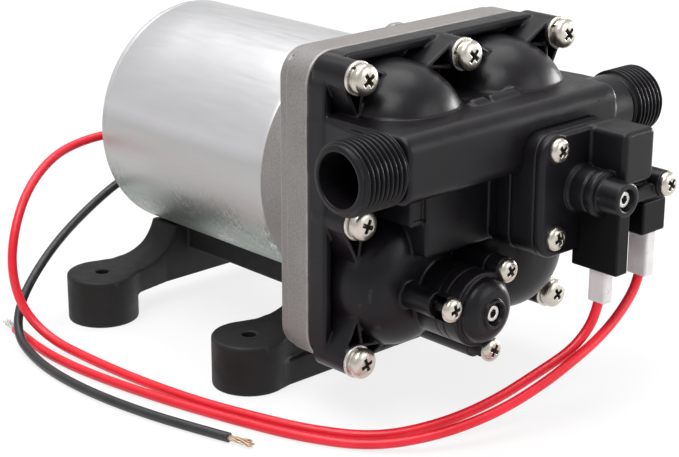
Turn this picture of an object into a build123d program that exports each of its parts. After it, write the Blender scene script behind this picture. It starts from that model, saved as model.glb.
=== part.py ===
"""A 12 volt diaphragm water pump for a caravan: motor, wobble-plate drive, four-chamber head,
pressure switch, bypass valve, rubber base and three loose leads.

Frame: X to the pump's left and right ports, the front (the head) towards -Y, +Z up.
The origin is the centre of the four mounting holes, on the ground. All lengths are millimetres.
"""
import os
from math import asin, atan2, cos, degrees, hypot, pi, radians, sin, tan

from build123d import *

os.makedirs("parts", exist_ok=True)

# Mounting and the motor's axis
hole_spacing_x = 87.7
hole_spacing_y = 75.5
axis_height = 62.5
running_gap = 0.3
fit_gap = 0.05

# Motor can and what closes it
can_radius = 38.1
can_wall = 2.0
can_length = 80.4
can_rear_overhang = 5.2
bell_thickness = 3.0
bell_inset = 1.2
bell_boss_radius = 11.5
bell_boss_height = 5.0
lead_exit_x = -13.5
red_exit_rise = -8.0
black_exit_rise = -20.0

# Cast drive housing: a square plate with a round neck
plate_thickness = 12.3
plate_step_width = 3.4
plate_step_inset = 0.6
neck_length = 17.5
neck_lip = 0.6
neck_flare = 5.0
spigot_length = 4.0
head_size = 93.2
head_corner = 9.5
recess_margin = 18.0
recess_corner = 12.0
recess_depth = 9.5
drive_cavity_margin = 4.2
drive_cavity_wall = 3.9
drive_cavity_depth = 29.0
bearing_boss_radius = 12.5
bearing_boss_length = 4.0
shaft_clearance_radius = 8.0

# Valve plate and diaphragm, counted back from the joint face
diaphragm_thickness = 1.5
chamber_radius = 13.6
chamber_web = 2.6
valve_hole_radius = 1.5
valve_hole_circle = 6.5
inlet_valve_radius = 8.6
inlet_valve_thickness = 0.8
valve_stem_radius = 1.4

# Wobble drive
chamber_margin = 4.5
piston_radius = 11.0
piston_thickness = 2.5
piston_post_radius = 3.9
piston_shoulder_radius = 5.46
piston_screw_radius = 1.6
piston_screw_head_radius = 3.0
piston_screw_head_height = 1.4
wobble_tilt = 3.5
wobble_setback = 3.2
wobble_thickness = 3.5
wobble_arm_width = 11.0
wobble_hub_radius = 14.0
wobble_hub_length = 7.5
cam_seat_radius = 6.5
cam_length = 8.2
cam_flange_radius = 8.2
cam_flange_thickness = 1.5
bearing_inner_radius = 8.6
bearing_outer_radius = 11.4
bearing_width = 6.0
weight_radius = 17.0
weight_thickness = 4.0
weight_hub_radius = 8.0

# Motor inside
shaft_radius = 4.0
motor_bearing_radius = 9.5
motor_bearing_width = 6.0
magnet_thickness = 6.5
magnet_length = 42.0
magnet_arc = 140.0
air_gap = 0.8
core_length = 38.0
core_slots = 8
slot_width = 5.0
slot_depth = 9.0
winding_overhang = 5.0
commutator_radius = 10.0
commutator_length = 12.0
commutator_bars = 8
commutator_cut = 0.8
brush_width = 6.0
brush_height = 5.0
brush_length = 10.0
holder_thickness = 2.5
holder_wall = 1.2
brush_spring_radius = 1.9

# Pump head, counted forward from the joint face
head_floor = 3.2
rim_depth = 7.4
rim_width = 2.8
rim_edge = 1.0
boss_radius = 4.7
boss_height = 15.5
web_reach = 14.5
web_drop = 2.2
web_width = 1.3
web_setback = 1.0
dome_margin = 3.8
dome_radius = 18.0
dome_straight = 15.0
dome_height = 29.5
dome_shoulder = 11.0
dome_wall = 3.0
dome_pocket_depth = 20.0
port_axis_depth = 30.9
port_rise = 20.5
port_reach = 16.95
port_radius = 10.6
port_bore = 7.7
port_neck_radius = 10.2
port_neck_sink = 3.1
thread_length = 15.0
thread_nose = 1.0
manifold_size = 19.5
manifold_corner = 4.5
pedestal_sink = 10.6
pedestal_overhang = 1.9
inlet_bore_end = 2.0
outlet_bore_depth = 27.05
passage_radius = 3.2
check_seat_radius = 4.5
check_seat_length = 12.0
centre_block_left = -30.0
centre_block_depth = 27.6
centre_block_low = -13.5
centre_block_corner = 3.0

# Pressure switch, counted forward from the joint face
switch_left = -0.6
switch_width = 34.4
switch_low = -13.5
switch_high = 23.1
switch_corner = 6.0
switch_boss_depth = 36.2
switch_plate_thickness = 9.0
switch_cover_thickness = 2.8
switch_axis_x = 16.5
switch_axis_rise = 5.5
switch_screw_inset = 6.1
switch_screw_drop = 4.3
barrel_base_radius = 7.3
barrel_base_length = 6.5
barrel_collar_radius = 6.3
barrel_collar_length = 3.0
barrel_radius = 5.1
barrel_length = 17.2
adjuster_radius = 2.9
adjuster_length = 5.0
adjuster_recess = 1.2
adjuster_thread_gap = 0.08
hex_key_width = 2.0
hex_key_depth = 2.2
upper_block_left = 20.2
upper_block_low = 7.2
upper_block_length = 12.6
block_edge = 1.6
pillar_x = 39.6
pillar_rise = 4.7
pillar_radius = 3.9
pillar_rear = 6.0
pillar_front = 12.9
arm_low = 0.7
arm_height = 3.6
arm_depth = 3.5
microswitch_left = 16.2
microswitch_width = 5.2
microswitch_low = -18.3
microswitch_high = -2.1
microswitch_length = 14.6
microswitch_bridge = 4.5
terminal_block_left = 31.9
terminal_block_right = 42.6
terminal_block_low = -10.3
terminal_block_high = -1.4
terminal_block_rear = 2.0
terminal_block_front = 11.3
switch_spring_radius = 2.1
switch_piston_radius = 6.0
switch_piston_stem_radius = 1.9
switch_diaphragm_radius = 11.0
switch_diaphragm_thickness = 1.0
switch_piston_recess = 2.0
switch_seat_thickness = 1.0
spring_spigot_length = 2.0

# Bypass valve, counted forward from the joint face
bypass_x = -13.8
bypass_rise = -27.0
bypass_body_radius = 11.2
bypass_depth = 33.5
bypass_flange = 5.0
bypass_screw_circle = 13.7
bypass_screw_turn = 45.0
bypass_lobe_radius = 3.9
bypass_bell_radius = 9.6
bypass_bell_step = 1.2
bypass_nose_radius = 4.4
bypass_nose_depth = 10.6
bypass_bore_radius = 6.4
bypass_poppet_radius = 5.6
bypass_poppet_thickness = 2.0
bypass_seat_height = 1.0
bypass_bore_depth = 14.0
bypass_passage_depth = 4.0
bypass_spring_radius = 3.4

# Fasteners
head_screw_radius = 2.3
head_screw_head_radius = 4.5
head_screw_head_height = 2.7
head_screw_engagement = 9.0
flat_washer_radius = 4.95
flat_washer_thickness = 1.0
lock_washer_radius = 4.2
lock_washer_thickness = 1.3
lock_washer_slit = 0.8
small_screw_radius = 1.5
small_screw_head_radius = 3.6
small_screw_head_height = 2.4
small_screw_grip = 8.0
crown_share = 0.45

# Wound springs
spring_wire = 0.7
spring_turns = 5
switch_turns = 7
coil_steps = 8
wire_spread_share = 1.1

# Check valve in the outlet bore
check_poppet_radius = 6.4
check_poppet_thickness = 1.8
check_stem_radius = 1.6
check_stem_length = 13.0
check_guide_radius = 7.62
check_guide_thickness = 2.0
check_guide_place = 10.0
check_guide_hole_circle = 4.57
check_spring_radius = 4.2
check_tail_length = 4.0

# Rubber base
foot_radius = 11.7
foot_height = 16.0
foot_edge = 0.8
foot_hole_radius = 2.2
arm_width_at_foot = 25.0
arm_width_at_can = 13.0
arm_underside = 8.3
arm_tip_half = 17.4
arm_tip_rise = 3.0
arm_waist_half = 30.3
arm_waist_rise = 0.6
arm_bend_half = 21.8
arm_bend_drop = 4.0
arm_root_half_width = 10.0
spine_half_width = 12.0
spine_drop = 5.8
front_bar_reach = 10.4
front_bar_height = 8.0
front_bar_width = 12.0
base_screw_radius = 2.0
base_screw_head_radius = 3.8
base_screw_head_height = 2.0
base_screw_spacing = 37.75
cradle_gap = 0.2

# Leads
lead_radius = 1.5
core_radius = 0.95
core_flare = 1.35
core_length_bare = 8.5
grommet_radius = 2.6
grommet_flange_radius = 3.6
grommet_flange_thickness = 1.2
grommet_nose = 2.4
insulator_width = 6.4
insulator_depth = 4.0
insulator_length = 13.7
insulator_neck_length = 3.0
insulator_wall = 0.45
insulator_pocket = 3.9
pocket_gap = 0.1
spade_depth = 7.2
tab_width = 4.7
tab_thickness = 0.8
tab_length = 7.5
receptacle_wall = 0.35
arc_share = 0.45

# Places worked out from the sizes above
can_rear_y = hole_spacing_y / 2 + can_rear_overhang
can_front_y = can_rear_y - can_length
plate_rear_y = can_front_y - neck_length
face_y = plate_rear_y - plate_thickness
bell_rear_y = can_rear_y - bell_inset
bell_front_y = bell_rear_y - bell_thickness
cover_y = face_y - switch_boss_depth - switch_plate_thickness - switch_cover_thickness
diaphragm_front_y = face_y + recess_depth - diaphragm_thickness
wobble_centre = Vector(0, face_y + recess_depth - diaphragm_thickness / 2, axis_height)
tilt_normal = Vector(0, -cos(radians(wobble_tilt)), -sin(radians(wobble_tilt)))
overrun = head_size
neck_radius = can_radius + neck_lip
drive_cavity_radius = neck_radius - drive_cavity_wall
recess_size = head_size - recess_margin
drive_cavity_size = recess_size - drive_cavity_margin
piston_spread = recess_size / 2 - chamber_radius - chamber_margin
screw_spread = head_size / 2 - boss_radius
dome_spread = head_size / 2 - rim_width - dome_radius - dome_margin
port_tip = head_size / 2 + port_reach
outlet_bore_end = port_tip - outlet_bore_depth
can_underside = axis_height - can_radius


def facing(y):
    """The plane across the pump at this y: its local axes are X and Z, and it faces the front."""
    return Plane.XZ.offset(-y)


def tilted(ahead):
    """The wobble plate's own plane, this far ahead of the centre that it rocks about."""
    origin = wobble_centre + tilt_normal * ahead
    return Plane(origin=origin, x_dir=(1, 0, 0), z_dir=tilt_normal)


def bar(places, radius, rear_y, front_y, mode=Mode.ADD):
    """Round bars along Y at these (x, z) places, from rear_y forward to front_y."""
    with BuildSketch(facing(rear_y)) as section:
        with Locations(*places):
            Circle(radius)
    extrude(section.sketch, amount=rear_y - front_y, mode=mode)


def block(left, right, bottom, top, rear_y, front_y, corner=0, mode=Mode.ADD):
    """A block between these sides, its corners rounded as seen from the front."""
    with BuildSketch(facing(rear_y)) as section:
        with Locations(((left + right) / 2, (bottom + top) / 2)):
            if corner:
                RectangleRounded(right - left, top - bottom, corner)
            else:
                Rectangle(right - left, top - bottom)
    extrude(section.sketch, amount=rear_y - front_y, mode=mode)


def square(size, corner, rear_y, front_y, mode=Mode.ADD):
    """A rounded square about the motor's axis."""
    half = size / 2
    block(-half, half, axis_height - half, axis_height + half, rear_y, front_y, corner, mode)


def crossways(x_from, x_to, y, z, radius, mode=Mode.ADD):
    """A round bar along X."""
    with BuildSketch(Plane.YZ.offset(x_from)) as section:
        with Locations((y, z)):
            Circle(radius)
    extrude(section.sketch, amount=x_to - x_from, mode=mode)


def coil(centre, radius, start_y, end_y, turns, wire):
    """A compression spring along Y, as a square wire wound in eighths of a turn."""
    steps = turns * coil_steps
    points = [
        (
            centre[0] + radius * cos(2 * pi * step / coil_steps),
            start_y + (end_y - start_y) * step / steps,
            centre[1] + radius * sin(2 * pi * step / coil_steps),
        )
        for step in range(steps + 1)
    ]
    with BuildPart() as spring:
        with BuildLine() as winding:
            Polyline(*points)
        with BuildSketch(Plane(origin=winding.line @ 0, z_dir=winding.line % 0)):
            Rectangle(wire, wire)
        sweep(transition=Transition.RIGHT)
    gap = abs(end_y - start_y) / turns - wire * wire_spread_share
    print(f"spring of radius {radius}: {turns} turns, least gap between turns {gap:.2f}")
    return spring


pieces = []
base_screw_places = [(0, row * base_screw_spacing / 2) for row in (-1, 1)]

# The nine places of a three by three grid, less the middle one, hold the head's screws
screw_places = [
    (column * screw_spread, axis_height + row * screw_spread)
    for column in (-1, 0, 1)
    for row in (-1, 0, 1)
    if (column, row) != (0, 0)
]
dome_places = [
    (column * dome_spread, axis_height + row * dome_spread) for column in (-1, 1) for row in (-1, 1)
]
piston_offsets = [(column * piston_spread, row * piston_spread) for column in (-1, 1) for row in (-1, 1)]
piston_places = [(x, axis_height + z) for x, z in piston_offsets]

# Motor can
with BuildPart() as motor_can:
    bar([(0, axis_height)], can_radius, can_rear_y, can_front_y)
    bar([(0, axis_height)], can_radius - can_wall, can_rear_y, can_front_y, Mode.SUBTRACT)
    rims = motor_can.edges().filter_by(GeomType.CIRCLE).sort_by(SortBy.RADIUS)[-2:]
    fillet(rims, can_wall / 3)
    with BuildSketch(Plane.XY.offset(can_underside - can_wall)) as base_holes:
        with Locations(*base_screw_places):
            Circle(base_screw_radius + fit_gap)
    extrude(base_holes.sketch, amount=3 * can_wall, mode=Mode.SUBTRACT)
motor_can.part.label = "motor_can"
pieces.append(motor_can)

# Rear end bell with the bearing boss and the two lead holes
red_exit = (lead_exit_x, axis_height + red_exit_rise)
black_exit = (lead_exit_x, axis_height + black_exit_rise)
with BuildPart() as end_bell:
    bar([(0, axis_height)], can_radius - can_wall, bell_rear_y, bell_front_y)
    bar([(0, axis_height)], bell_boss_radius, bell_rear_y + bell_boss_height, bell_rear_y)
    fillet(end_bell.edges().group_by(Axis.Y)[-1], can_wall / 2)
    pocket_front_y = bell_front_y
    pocket_rear_y = bell_front_y + motor_bearing_width
    bar([(0, axis_height)], motor_bearing_radius, pocket_rear_y, pocket_front_y, Mode.SUBTRACT)
    bar([red_exit, black_exit], grommet_radius, bell_rear_y, bell_front_y, Mode.SUBTRACT)
end_bell.part.label = "motor_end_bell"
pieces.append(end_bell)

# Lead grommets
with BuildPart() as grommets:
    flange_rear_y = bell_rear_y + grommet_flange_thickness
    bar([red_exit, black_exit], grommet_flange_radius, flange_rear_y, bell_rear_y)
    bar([red_exit, black_exit], grommet_radius, bell_rear_y, bell_front_y)
    bar([red_exit, black_exit], lead_radius + core_radius, flange_rear_y + grommet_nose, flange_rear_y)
grommets.part.label = "lead_grommets"
pieces.append(grommets)

# Ball bearings of the motor shaft, as closed rings
front_wall_rear_y = can_front_y + spigot_length
front_seat_y = front_wall_rear_y + bearing_boss_length
bearing_places = {"rear_bearing": pocket_rear_y, "front_bearing": front_seat_y}
for bearing_name, bearing_rear_y in bearing_places.items():
    with BuildPart() as bearing:
        bearing_front_y = bearing_rear_y - motor_bearing_width
        bar([(0, axis_height)], motor_bearing_radius, bearing_rear_y, bearing_front_y)
        bore = shaft_radius + fit_gap
        bar([(0, axis_height)], bore, bearing_rear_y, bearing_front_y, Mode.SUBTRACT)
    bearing.part.label = bearing_name
    pieces.append(bearing)

# Cast drive housing
with BuildPart() as drive_housing:
    square(head_size, head_corner, plate_rear_y - plate_step_width, face_y)
    step_size = head_size - 2 * plate_step_inset
    square(step_size, head_corner - plate_step_inset, plate_rear_y, plate_rear_y - plate_step_width)
    bar([(0, axis_height)], neck_radius, can_front_y, plate_rear_y)
    neck_edges = drive_housing.edges().filter_by(GeomType.CIRCLE).filter_by(
        lambda edge: abs(edge.radius - neck_radius) < fit_gap
    )
    root_edges = neck_edges.filter_by(lambda edge: abs(edge.center().Y - plate_rear_y) < fit_gap)
    fillet(root_edges, neck_flare)
    bar([(0, axis_height)], can_radius - can_wall, front_wall_rear_y, can_front_y)
    bar([(0, axis_height)], bearing_boss_radius, front_seat_y, front_wall_rear_y)
    square(recess_size, recess_corner, face_y + recess_depth, face_y, Mode.SUBTRACT)
    square(drive_cavity_size, recess_corner, plate_rear_y, face_y + recess_depth, Mode.SUBTRACT)
    cavity_rear_y = face_y + drive_cavity_depth
    bar([(0, axis_height)], drive_cavity_radius, cavity_rear_y, plate_rear_y, Mode.SUBTRACT)
    seat_end_y = front_seat_y - motor_bearing_width
    bar([(0, axis_height)], motor_bearing_radius, front_seat_y, seat_end_y, Mode.SUBTRACT)
    bar([(0, axis_height)], shaft_clearance_radius, seat_end_y, cavity_rear_y, Mode.SUBTRACT)
    thread_end_y = face_y + head_screw_engagement + lock_washer_thickness
    bar(screw_places, head_screw_radius + fit_gap, thread_end_y, face_y, Mode.SUBTRACT)
drive_housing.part.label = "drive_housing"
pieces.append(drive_housing)

# Field magnets, two arcs glued inside the can
core_middle_y = (front_wall_rear_y + bell_front_y) / 2 - commutator_length / 2
magnet_rear_y = core_middle_y + magnet_length / 2
with BuildPart() as magnets:
    outer = can_radius - can_wall
    inner = outer - magnet_thickness
    with BuildSketch(facing(magnet_rear_y)):
        with Locations((0, axis_height)):
            Circle(outer)
            Circle(inner, mode=Mode.SUBTRACT)
            half_gap = radians((180 - magnet_arc) / 2)
            with PolarLocations(0, 2, start_angle=90):
                reach = 2 * can_radius
                Polygon(
                    (0, 0),
                    (reach, -reach * tan(half_gap)),
                    (reach, reach * tan(half_gap)),
                    align=None,
                    mode=Mode.SUBTRACT,
                )
    extrude(amount=magnet_length)
magnets.part.label = "field_magnets"
pieces.append(magnets)

# Armature: slotted core, windings, commutator and shaft
core_radius_outer = can_radius - can_wall - magnet_thickness - air_gap
core_rear_y = core_middle_y + core_length / 2
core_front_y = core_middle_y - core_length / 2
slot_middle = core_radius_outer - slot_depth / 2
with BuildPart() as armature_core:
    with BuildSketch(facing(core_rear_y)):
        with Locations((0, axis_height)):
            Circle(core_radius_outer)
            Circle(shaft_radius, mode=Mode.SUBTRACT)
            with PolarLocations(slot_middle, core_slots):
                Rectangle(slot_depth + air_gap, slot_width, mode=Mode.SUBTRACT)
    extrude(amount=core_length)
armature_core.part.label = "armature_core"
pieces.append(armature_core)

with BuildPart() as windings:
    winding_outer = core_radius_outer - air_gap
    winding_inner = core_radius_outer - slot_depth
    for end_rear_y, end_front_y in (
        (core_rear_y + winding_overhang, core_rear_y),
        (core_front_y, core_front_y - winding_overhang),
    ):
        bar([(0, axis_height)], winding_outer, end_rear_y, end_front_y)
        bar([(0, axis_height)], winding_inner, end_rear_y, end_front_y, Mode.SUBTRACT)
    with BuildSketch(facing(core_rear_y)):
        with Locations((0, axis_height)):
            with PolarLocations(slot_middle, core_slots):
                Rectangle(slot_depth - air_gap, slot_width - 2 * fit_gap)
    extrude(amount=core_length)
windings.part.label = "armature_windings"
pieces.append(windings)

commutator_front_y = core_rear_y + winding_overhang + air_gap
commutator_rear_y = commutator_front_y + commutator_length
with BuildPart() as commutator:
    with BuildSketch(facing(commutator_rear_y)):
        with Locations((0, axis_height)):
            Circle(commutator_radius)
            Circle(shaft_radius, mode=Mode.SUBTRACT)
            with PolarLocations(commutator_radius, commutator_bars):
                Rectangle(2 * commutator_cut, commutator_cut, mode=Mode.SUBTRACT)
    extrude(amount=commutator_length)
commutator.part.label = "commutator"
pieces.append(commutator)

# Where the cam ends, counted ahead of the centre that the wobble plate rocks about
cam_rear = -(wobble_setback + wobble_thickness + wobble_hub_length)
cam_front = cam_rear + cam_length

# The shaft runs from the rear bearing through the front one into the cam
shaft_front_y = wobble_centre.Y - cam_front + running_gap
with BuildPart() as shaft:
    bar([(0, axis_height)], shaft_radius, pocket_rear_y - running_gap, shaft_front_y)
    chamfer(shaft.edges(), shaft_radius / 8)
shaft.part.label = "motor_shaft"
pieces.append(shaft)

# Brush holder plate, brushes and their springs
brush_y = (commutator_front_y + commutator_rear_y) / 2
holder_front_y = bell_front_y - holder_thickness
brush_inner = commutator_radius + running_gap
brush_outer = brush_inner + brush_length
with BuildPart() as brush_holder:
    bar([(0, axis_height)], can_radius - can_wall, bell_front_y, holder_front_y)
    bar([(0, axis_height)], commutator_radius + air_gap, bell_front_y, holder_front_y, Mode.SUBTRACT)
    bar([red_exit, black_exit], grommet_radius, bell_front_y, holder_front_y, Mode.SUBTRACT)
    box_half = brush_height / 2 + holder_wall
    box_front_y = brush_y - brush_width / 2 - holder_wall
    box_end = can_radius - can_wall - holder_wall
    box_start = brush_inner + holder_wall
    for side in (-1, 1):
        near, far = sorted((side * box_start, side * box_end))
        block(near, far, axis_height - box_half, axis_height + box_half, holder_front_y, box_front_y)
    for side in (-1, 1):
        near, far = sorted((side * box_start, side * (box_end - holder_wall)))
        channel = brush_height / 2 + fit_gap
        channel_rear_y = brush_y + brush_width / 2 + fit_gap
        channel_front_y = brush_y - brush_width / 2 - fit_gap
        ends = (near, far, axis_height - channel, axis_height + channel)
        block(*ends, channel_rear_y, channel_front_y, mode=Mode.SUBTRACT)
brush_holder.part.label = "brush_holder"
pieces.append(brush_holder)

with BuildPart() as brushes:
    for side in (-1, 1):
        near, far = sorted((side * brush_inner, side * brush_outer))
        half = brush_height / 2
        edges = (near, far, axis_height - half, axis_height + half)
        block(*edges, brush_y + brush_width / 2, brush_y - brush_width / 2)
brushes.part.label = "carbon_brushes"
pieces.append(brushes)

with BuildPart() as brush_springs:
    for side in (-1, 1):
        near, far = sorted((side * (brush_outer + fit_gap), side * (box_end - holder_wall - fit_gap)))
        crossways(near, far, brush_y, axis_height, brush_spring_radius)
        crossways(near, far, brush_y, axis_height, brush_spring_radius / 2, Mode.SUBTRACT)
brush_springs.part.label = "brush_springs"
pieces.append(brush_springs)

# Tilted cam on the shaft, with the balance weight behind it
with BuildPart() as cam:
    with BuildSketch(tilted(cam_rear)):
        Circle(cam_seat_radius)
    extrude(amount=cam_length)
    with BuildSketch(tilted(cam_rear - cam_flange_thickness)):
        Circle(cam_flange_radius)
    extrude(amount=cam_flange_thickness)
    weight_rear_y = cavity_rear_y - 2 * running_gap
    weight_front_y = weight_rear_y - weight_thickness
    bar([(0, axis_height)], weight_hub_radius, weight_rear_y, weight_front_y)
    with BuildSketch(facing(weight_rear_y)):
        with Locations((0, axis_height)):
            Circle(weight_radius)
        with Locations((0, axis_height + weight_radius)):
            Rectangle(2 * weight_radius, 2 * weight_radius, mode=Mode.SUBTRACT)
    extrude(amount=weight_thickness)
    bar([(0, axis_height)], shaft_radius, cavity_rear_y, face_y, Mode.SUBTRACT)
cam.part.label = "eccentric_cam"
pieces.append(cam)

# The cam's ball bearing: inner ring on the cam, outer ring in the wobble plate
bearing_rear = cam_rear
with BuildPart() as cam_bearing_inner:
    with BuildSketch(tilted(bearing_rear)):
        Circle(bearing_inner_radius)
        Circle(cam_seat_radius, mode=Mode.SUBTRACT)
    extrude(amount=bearing_width)
cam_bearing_inner.part.label = "cam_bearing_inner_ring"
pieces.append(cam_bearing_inner)

with BuildPart() as cam_bearing_outer:
    with BuildSketch(tilted(bearing_rear)):
        Circle(bearing_outer_radius)
        Circle(bearing_inner_radius + fit_gap, mode=Mode.SUBTRACT)
    extrude(amount=bearing_width)
cam_bearing_outer.part.label = "cam_bearing_outer_ring"
pieces.append(cam_bearing_outer)

# Wobble plate: a four-armed spider whose posts pass through the diaphragm
with BuildPart() as wobble_plate:
    plate_rear = -(wobble_setback + wobble_thickness)
    with BuildSketch(tilted(plate_rear)):
        Circle(wobble_hub_radius)
        for turn in (45, 135):
            Rectangle(2 * hypot(piston_spread, piston_spread), wobble_arm_width, rotation=turn)
        with Locations(*piston_offsets):
            Circle(wobble_arm_width / 2)
    extrude(amount=wobble_thickness)
    with BuildSketch(tilted(plate_rear - wobble_hub_length)):
        Circle(wobble_hub_radius)
    extrude(amount=wobble_hub_length)
    with BuildSketch(tilted(plate_rear - wobble_hub_length)):
        Circle(bearing_outer_radius)
    extrude(amount=bearing_width, mode=Mode.SUBTRACT)
    with BuildSketch(tilted(plate_rear - wobble_hub_length)):
        Circle(cam_seat_radius + 2 * running_gap)
    extrude(amount=cam_length + 2 * running_gap, mode=Mode.SUBTRACT)
    with BuildSketch(tilted(-wobble_setback)):
        with Locations(*piston_offsets):
            Circle(piston_shoulder_radius)
    extrude(amount=wobble_setback - diaphragm_thickness / 2)
    with BuildSketch(tilted(-wobble_setback)):
        with Locations(*piston_offsets):
            Circle(piston_post_radius)
    extrude(amount=wobble_setback + diaphragm_thickness / 2)
    with BuildSketch(tilted(-wobble_setback)):
        with Locations(*piston_offsets):
            Circle(piston_screw_radius)
    extrude(amount=2 * wobble_setback, mode=Mode.SUBTRACT)
wobble_plate.part.label = "wobble_plate"
pieces.append(wobble_plate)

# Piston caps that clamp the diaphragm's pads, each held by a screw
with BuildPart() as pistons:
    with BuildSketch(tilted(diaphragm_thickness / 2)):
        with Locations(*piston_offsets):
            Circle(piston_radius)
            Circle(piston_screw_radius, mode=Mode.SUBTRACT)
    extrude(amount=piston_thickness - piston_screw_head_height)
    with BuildSketch(tilted(diaphragm_thickness / 2 + piston_thickness - piston_screw_head_height)):
        with Locations(*piston_offsets):
            Circle(piston_radius)
            Circle(piston_screw_head_radius + fit_gap, mode=Mode.SUBTRACT)
    extrude(amount=piston_screw_head_height)
pistons.part.label = "piston_caps"
pieces.append(pistons)

with BuildPart() as piston_screws:
    with BuildSketch(tilted(-wobble_setback)):
        with Locations(*piston_offsets):
            Circle(piston_screw_radius - fit_gap)
    extrude(amount=wobble_setback + diaphragm_thickness / 2 + piston_thickness - piston_screw_head_height)
    with BuildSketch(tilted(diaphragm_thickness / 2 + piston_thickness - piston_screw_head_height)):
        with Locations(*piston_offsets):
            Circle(piston_screw_head_radius)
    extrude(amount=piston_screw_head_height)
piston_screws.part.label = "piston_screws"
pieces.append(piston_screws)


def pad_frustum(x, z, flat_y, ahead):
    """The cone from the flat sheet to a pad that follows the wobble plate's tilt."""
    with BuildPart() as frustum:
        with BuildSketch(facing(flat_y)):
            with Locations((x, z + axis_height)):
                Circle(chamber_radius - diaphragm_thickness / 2)
        with BuildSketch(tilted(ahead)):
            with Locations((x, z)):
                Circle(piston_radius)
        loft(ruled=True)
    return frustum.part


# One-piece diaphragm: a flat sheet whose four pads stand as the tilted plate holds them
with BuildPart() as diaphragm:
    diaphragm_rear_y = diaphragm_front_y + diaphragm_thickness
    sheet_size = recess_size - 2 * fit_gap
    square(sheet_size, recess_corner - fit_gap, diaphragm_rear_y, diaphragm_front_y)
    half_sheet = diaphragm_thickness / 2
    for x, z in piston_offsets:
        front_cone = pad_frustum(x, z, diaphragm_front_y, half_sheet)
        rear_cone = pad_frustum(x, z, diaphragm_rear_y, -half_sheet)
        outer_cone, inner_cone = (front_cone, rear_cone) if z > 0 else (rear_cone, front_cone)
        add(outer_cone)
        add(inner_cone, mode=Mode.SUBTRACT)
    with BuildSketch(tilted(-wobble_setback)):
        with Locations(*piston_offsets):
            Circle(piston_post_radius + running_gap)
    extrude(amount=2 * wobble_setback, mode=Mode.SUBTRACT)
diaphragm.part.label = "diaphragm"
pieces.append(diaphragm)

# Valve plate: four piston chambers behind a web with the valve ports
with BuildPart() as valve_plate:
    sheet_size = recess_size - 2 * fit_gap
    square(sheet_size, recess_corner - fit_gap, diaphragm_front_y, face_y)
    chamber_front_y = face_y + chamber_web
    bar(piston_places, chamber_radius, diaphragm_front_y, chamber_front_y, Mode.SUBTRACT)
    for place in piston_places:
        with BuildSketch(facing(chamber_front_y)):
            with Locations(place):
                with PolarLocations(valve_hole_circle, 4):
                    Circle(valve_hole_radius)
        extrude(amount=chamber_web, mode=Mode.SUBTRACT)
    bar(piston_places, valve_stem_radius + fit_gap, chamber_front_y, face_y, Mode.SUBTRACT)
valve_plate.part.label = "valve_plate"
pieces.append(valve_plate)

# Rubber flap valves, one umbrella in front of each chamber
with BuildPart() as flap_valves:
    bar(piston_places, inlet_valve_radius, face_y, face_y - inlet_valve_thickness)
    bar(piston_places, valve_stem_radius, chamber_front_y, face_y)
flap_valves.part.label = "flap_valves"
pieces.append(flap_valves)

# Pump head
port_y = face_y - port_axis_depth
port_z = axis_height + port_rise
manifold_front_y = port_y - manifold_size / 2
switch_right = switch_left + switch_width
switch_bottom = axis_height + switch_low
switch_top = axis_height + switch_high
switch_axis_z = axis_height + switch_axis_rise
bypass_z = axis_height + bypass_rise
boss_y = face_y - boss_height
port_neck_start = head_size / 2 - port_neck_sink
pedestal_inner = head_size / 2 - pedestal_sink
pedestal_outer = head_size / 2 + pedestal_overhang


def web_tips():
    """Each screw boss with the points that its hollow V-shaped webs run to."""
    for x, z in screw_places:
        inward_x = -web_drop * ((x > 0) - (x < 0))
        inward_z = -web_drop * ((z > axis_height) - (z < axis_height))
        for way in (-1, 1):
            if inward_z and way * x <= 0:
                yield (x, z), (way * web_reach, inward_z)
            if inward_x and way * (z - axis_height) <= 0:
                yield (x, z), (inward_x, way * web_reach)


def web_triangle(tip, radius):
    """The triangle of the two tangents from this tip to a boss about the origin."""
    heading = atan2(tip[1], tip[0])
    reach = hypot(*tip)
    spread = pi / 2 - asin(radius / reach)
    sides = [
        (radius * cos(heading + turn), radius * sin(heading + turn)) for turn in (spread, -spread)
    ]
    return sides[0], tip, sides[1]


# The dome's crown is a large arc that meets the shoulder's arc without a corner
crown_height = dome_height - dome_straight
crown_radius = (dome_radius**2 + crown_height**2 - 2 * dome_radius * dome_shoulder) / (
    2 * (crown_height - dome_shoulder)
)
shoulder_turn = degrees(atan2(crown_radius - crown_height, dome_radius - dome_shoulder))
floor_y = face_y - head_floor
with BuildPart() as dome:
    with BuildSketch(Plane.YZ):
        with BuildLine():
            side = Line((floor_y, dome_radius), (face_y - dome_straight, dome_radius))
            shoulder = JernArc(side @ 1, side % 1, dome_shoulder, shoulder_turn)
            crown = JernArc(shoulder @ 1, shoulder % 1, crown_radius, 90 - shoulder_turn)
            Polyline(crown @ 1, (floor_y, 0), side @ 0)
        make_face()
    revolve(axis=Axis.Y)

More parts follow.
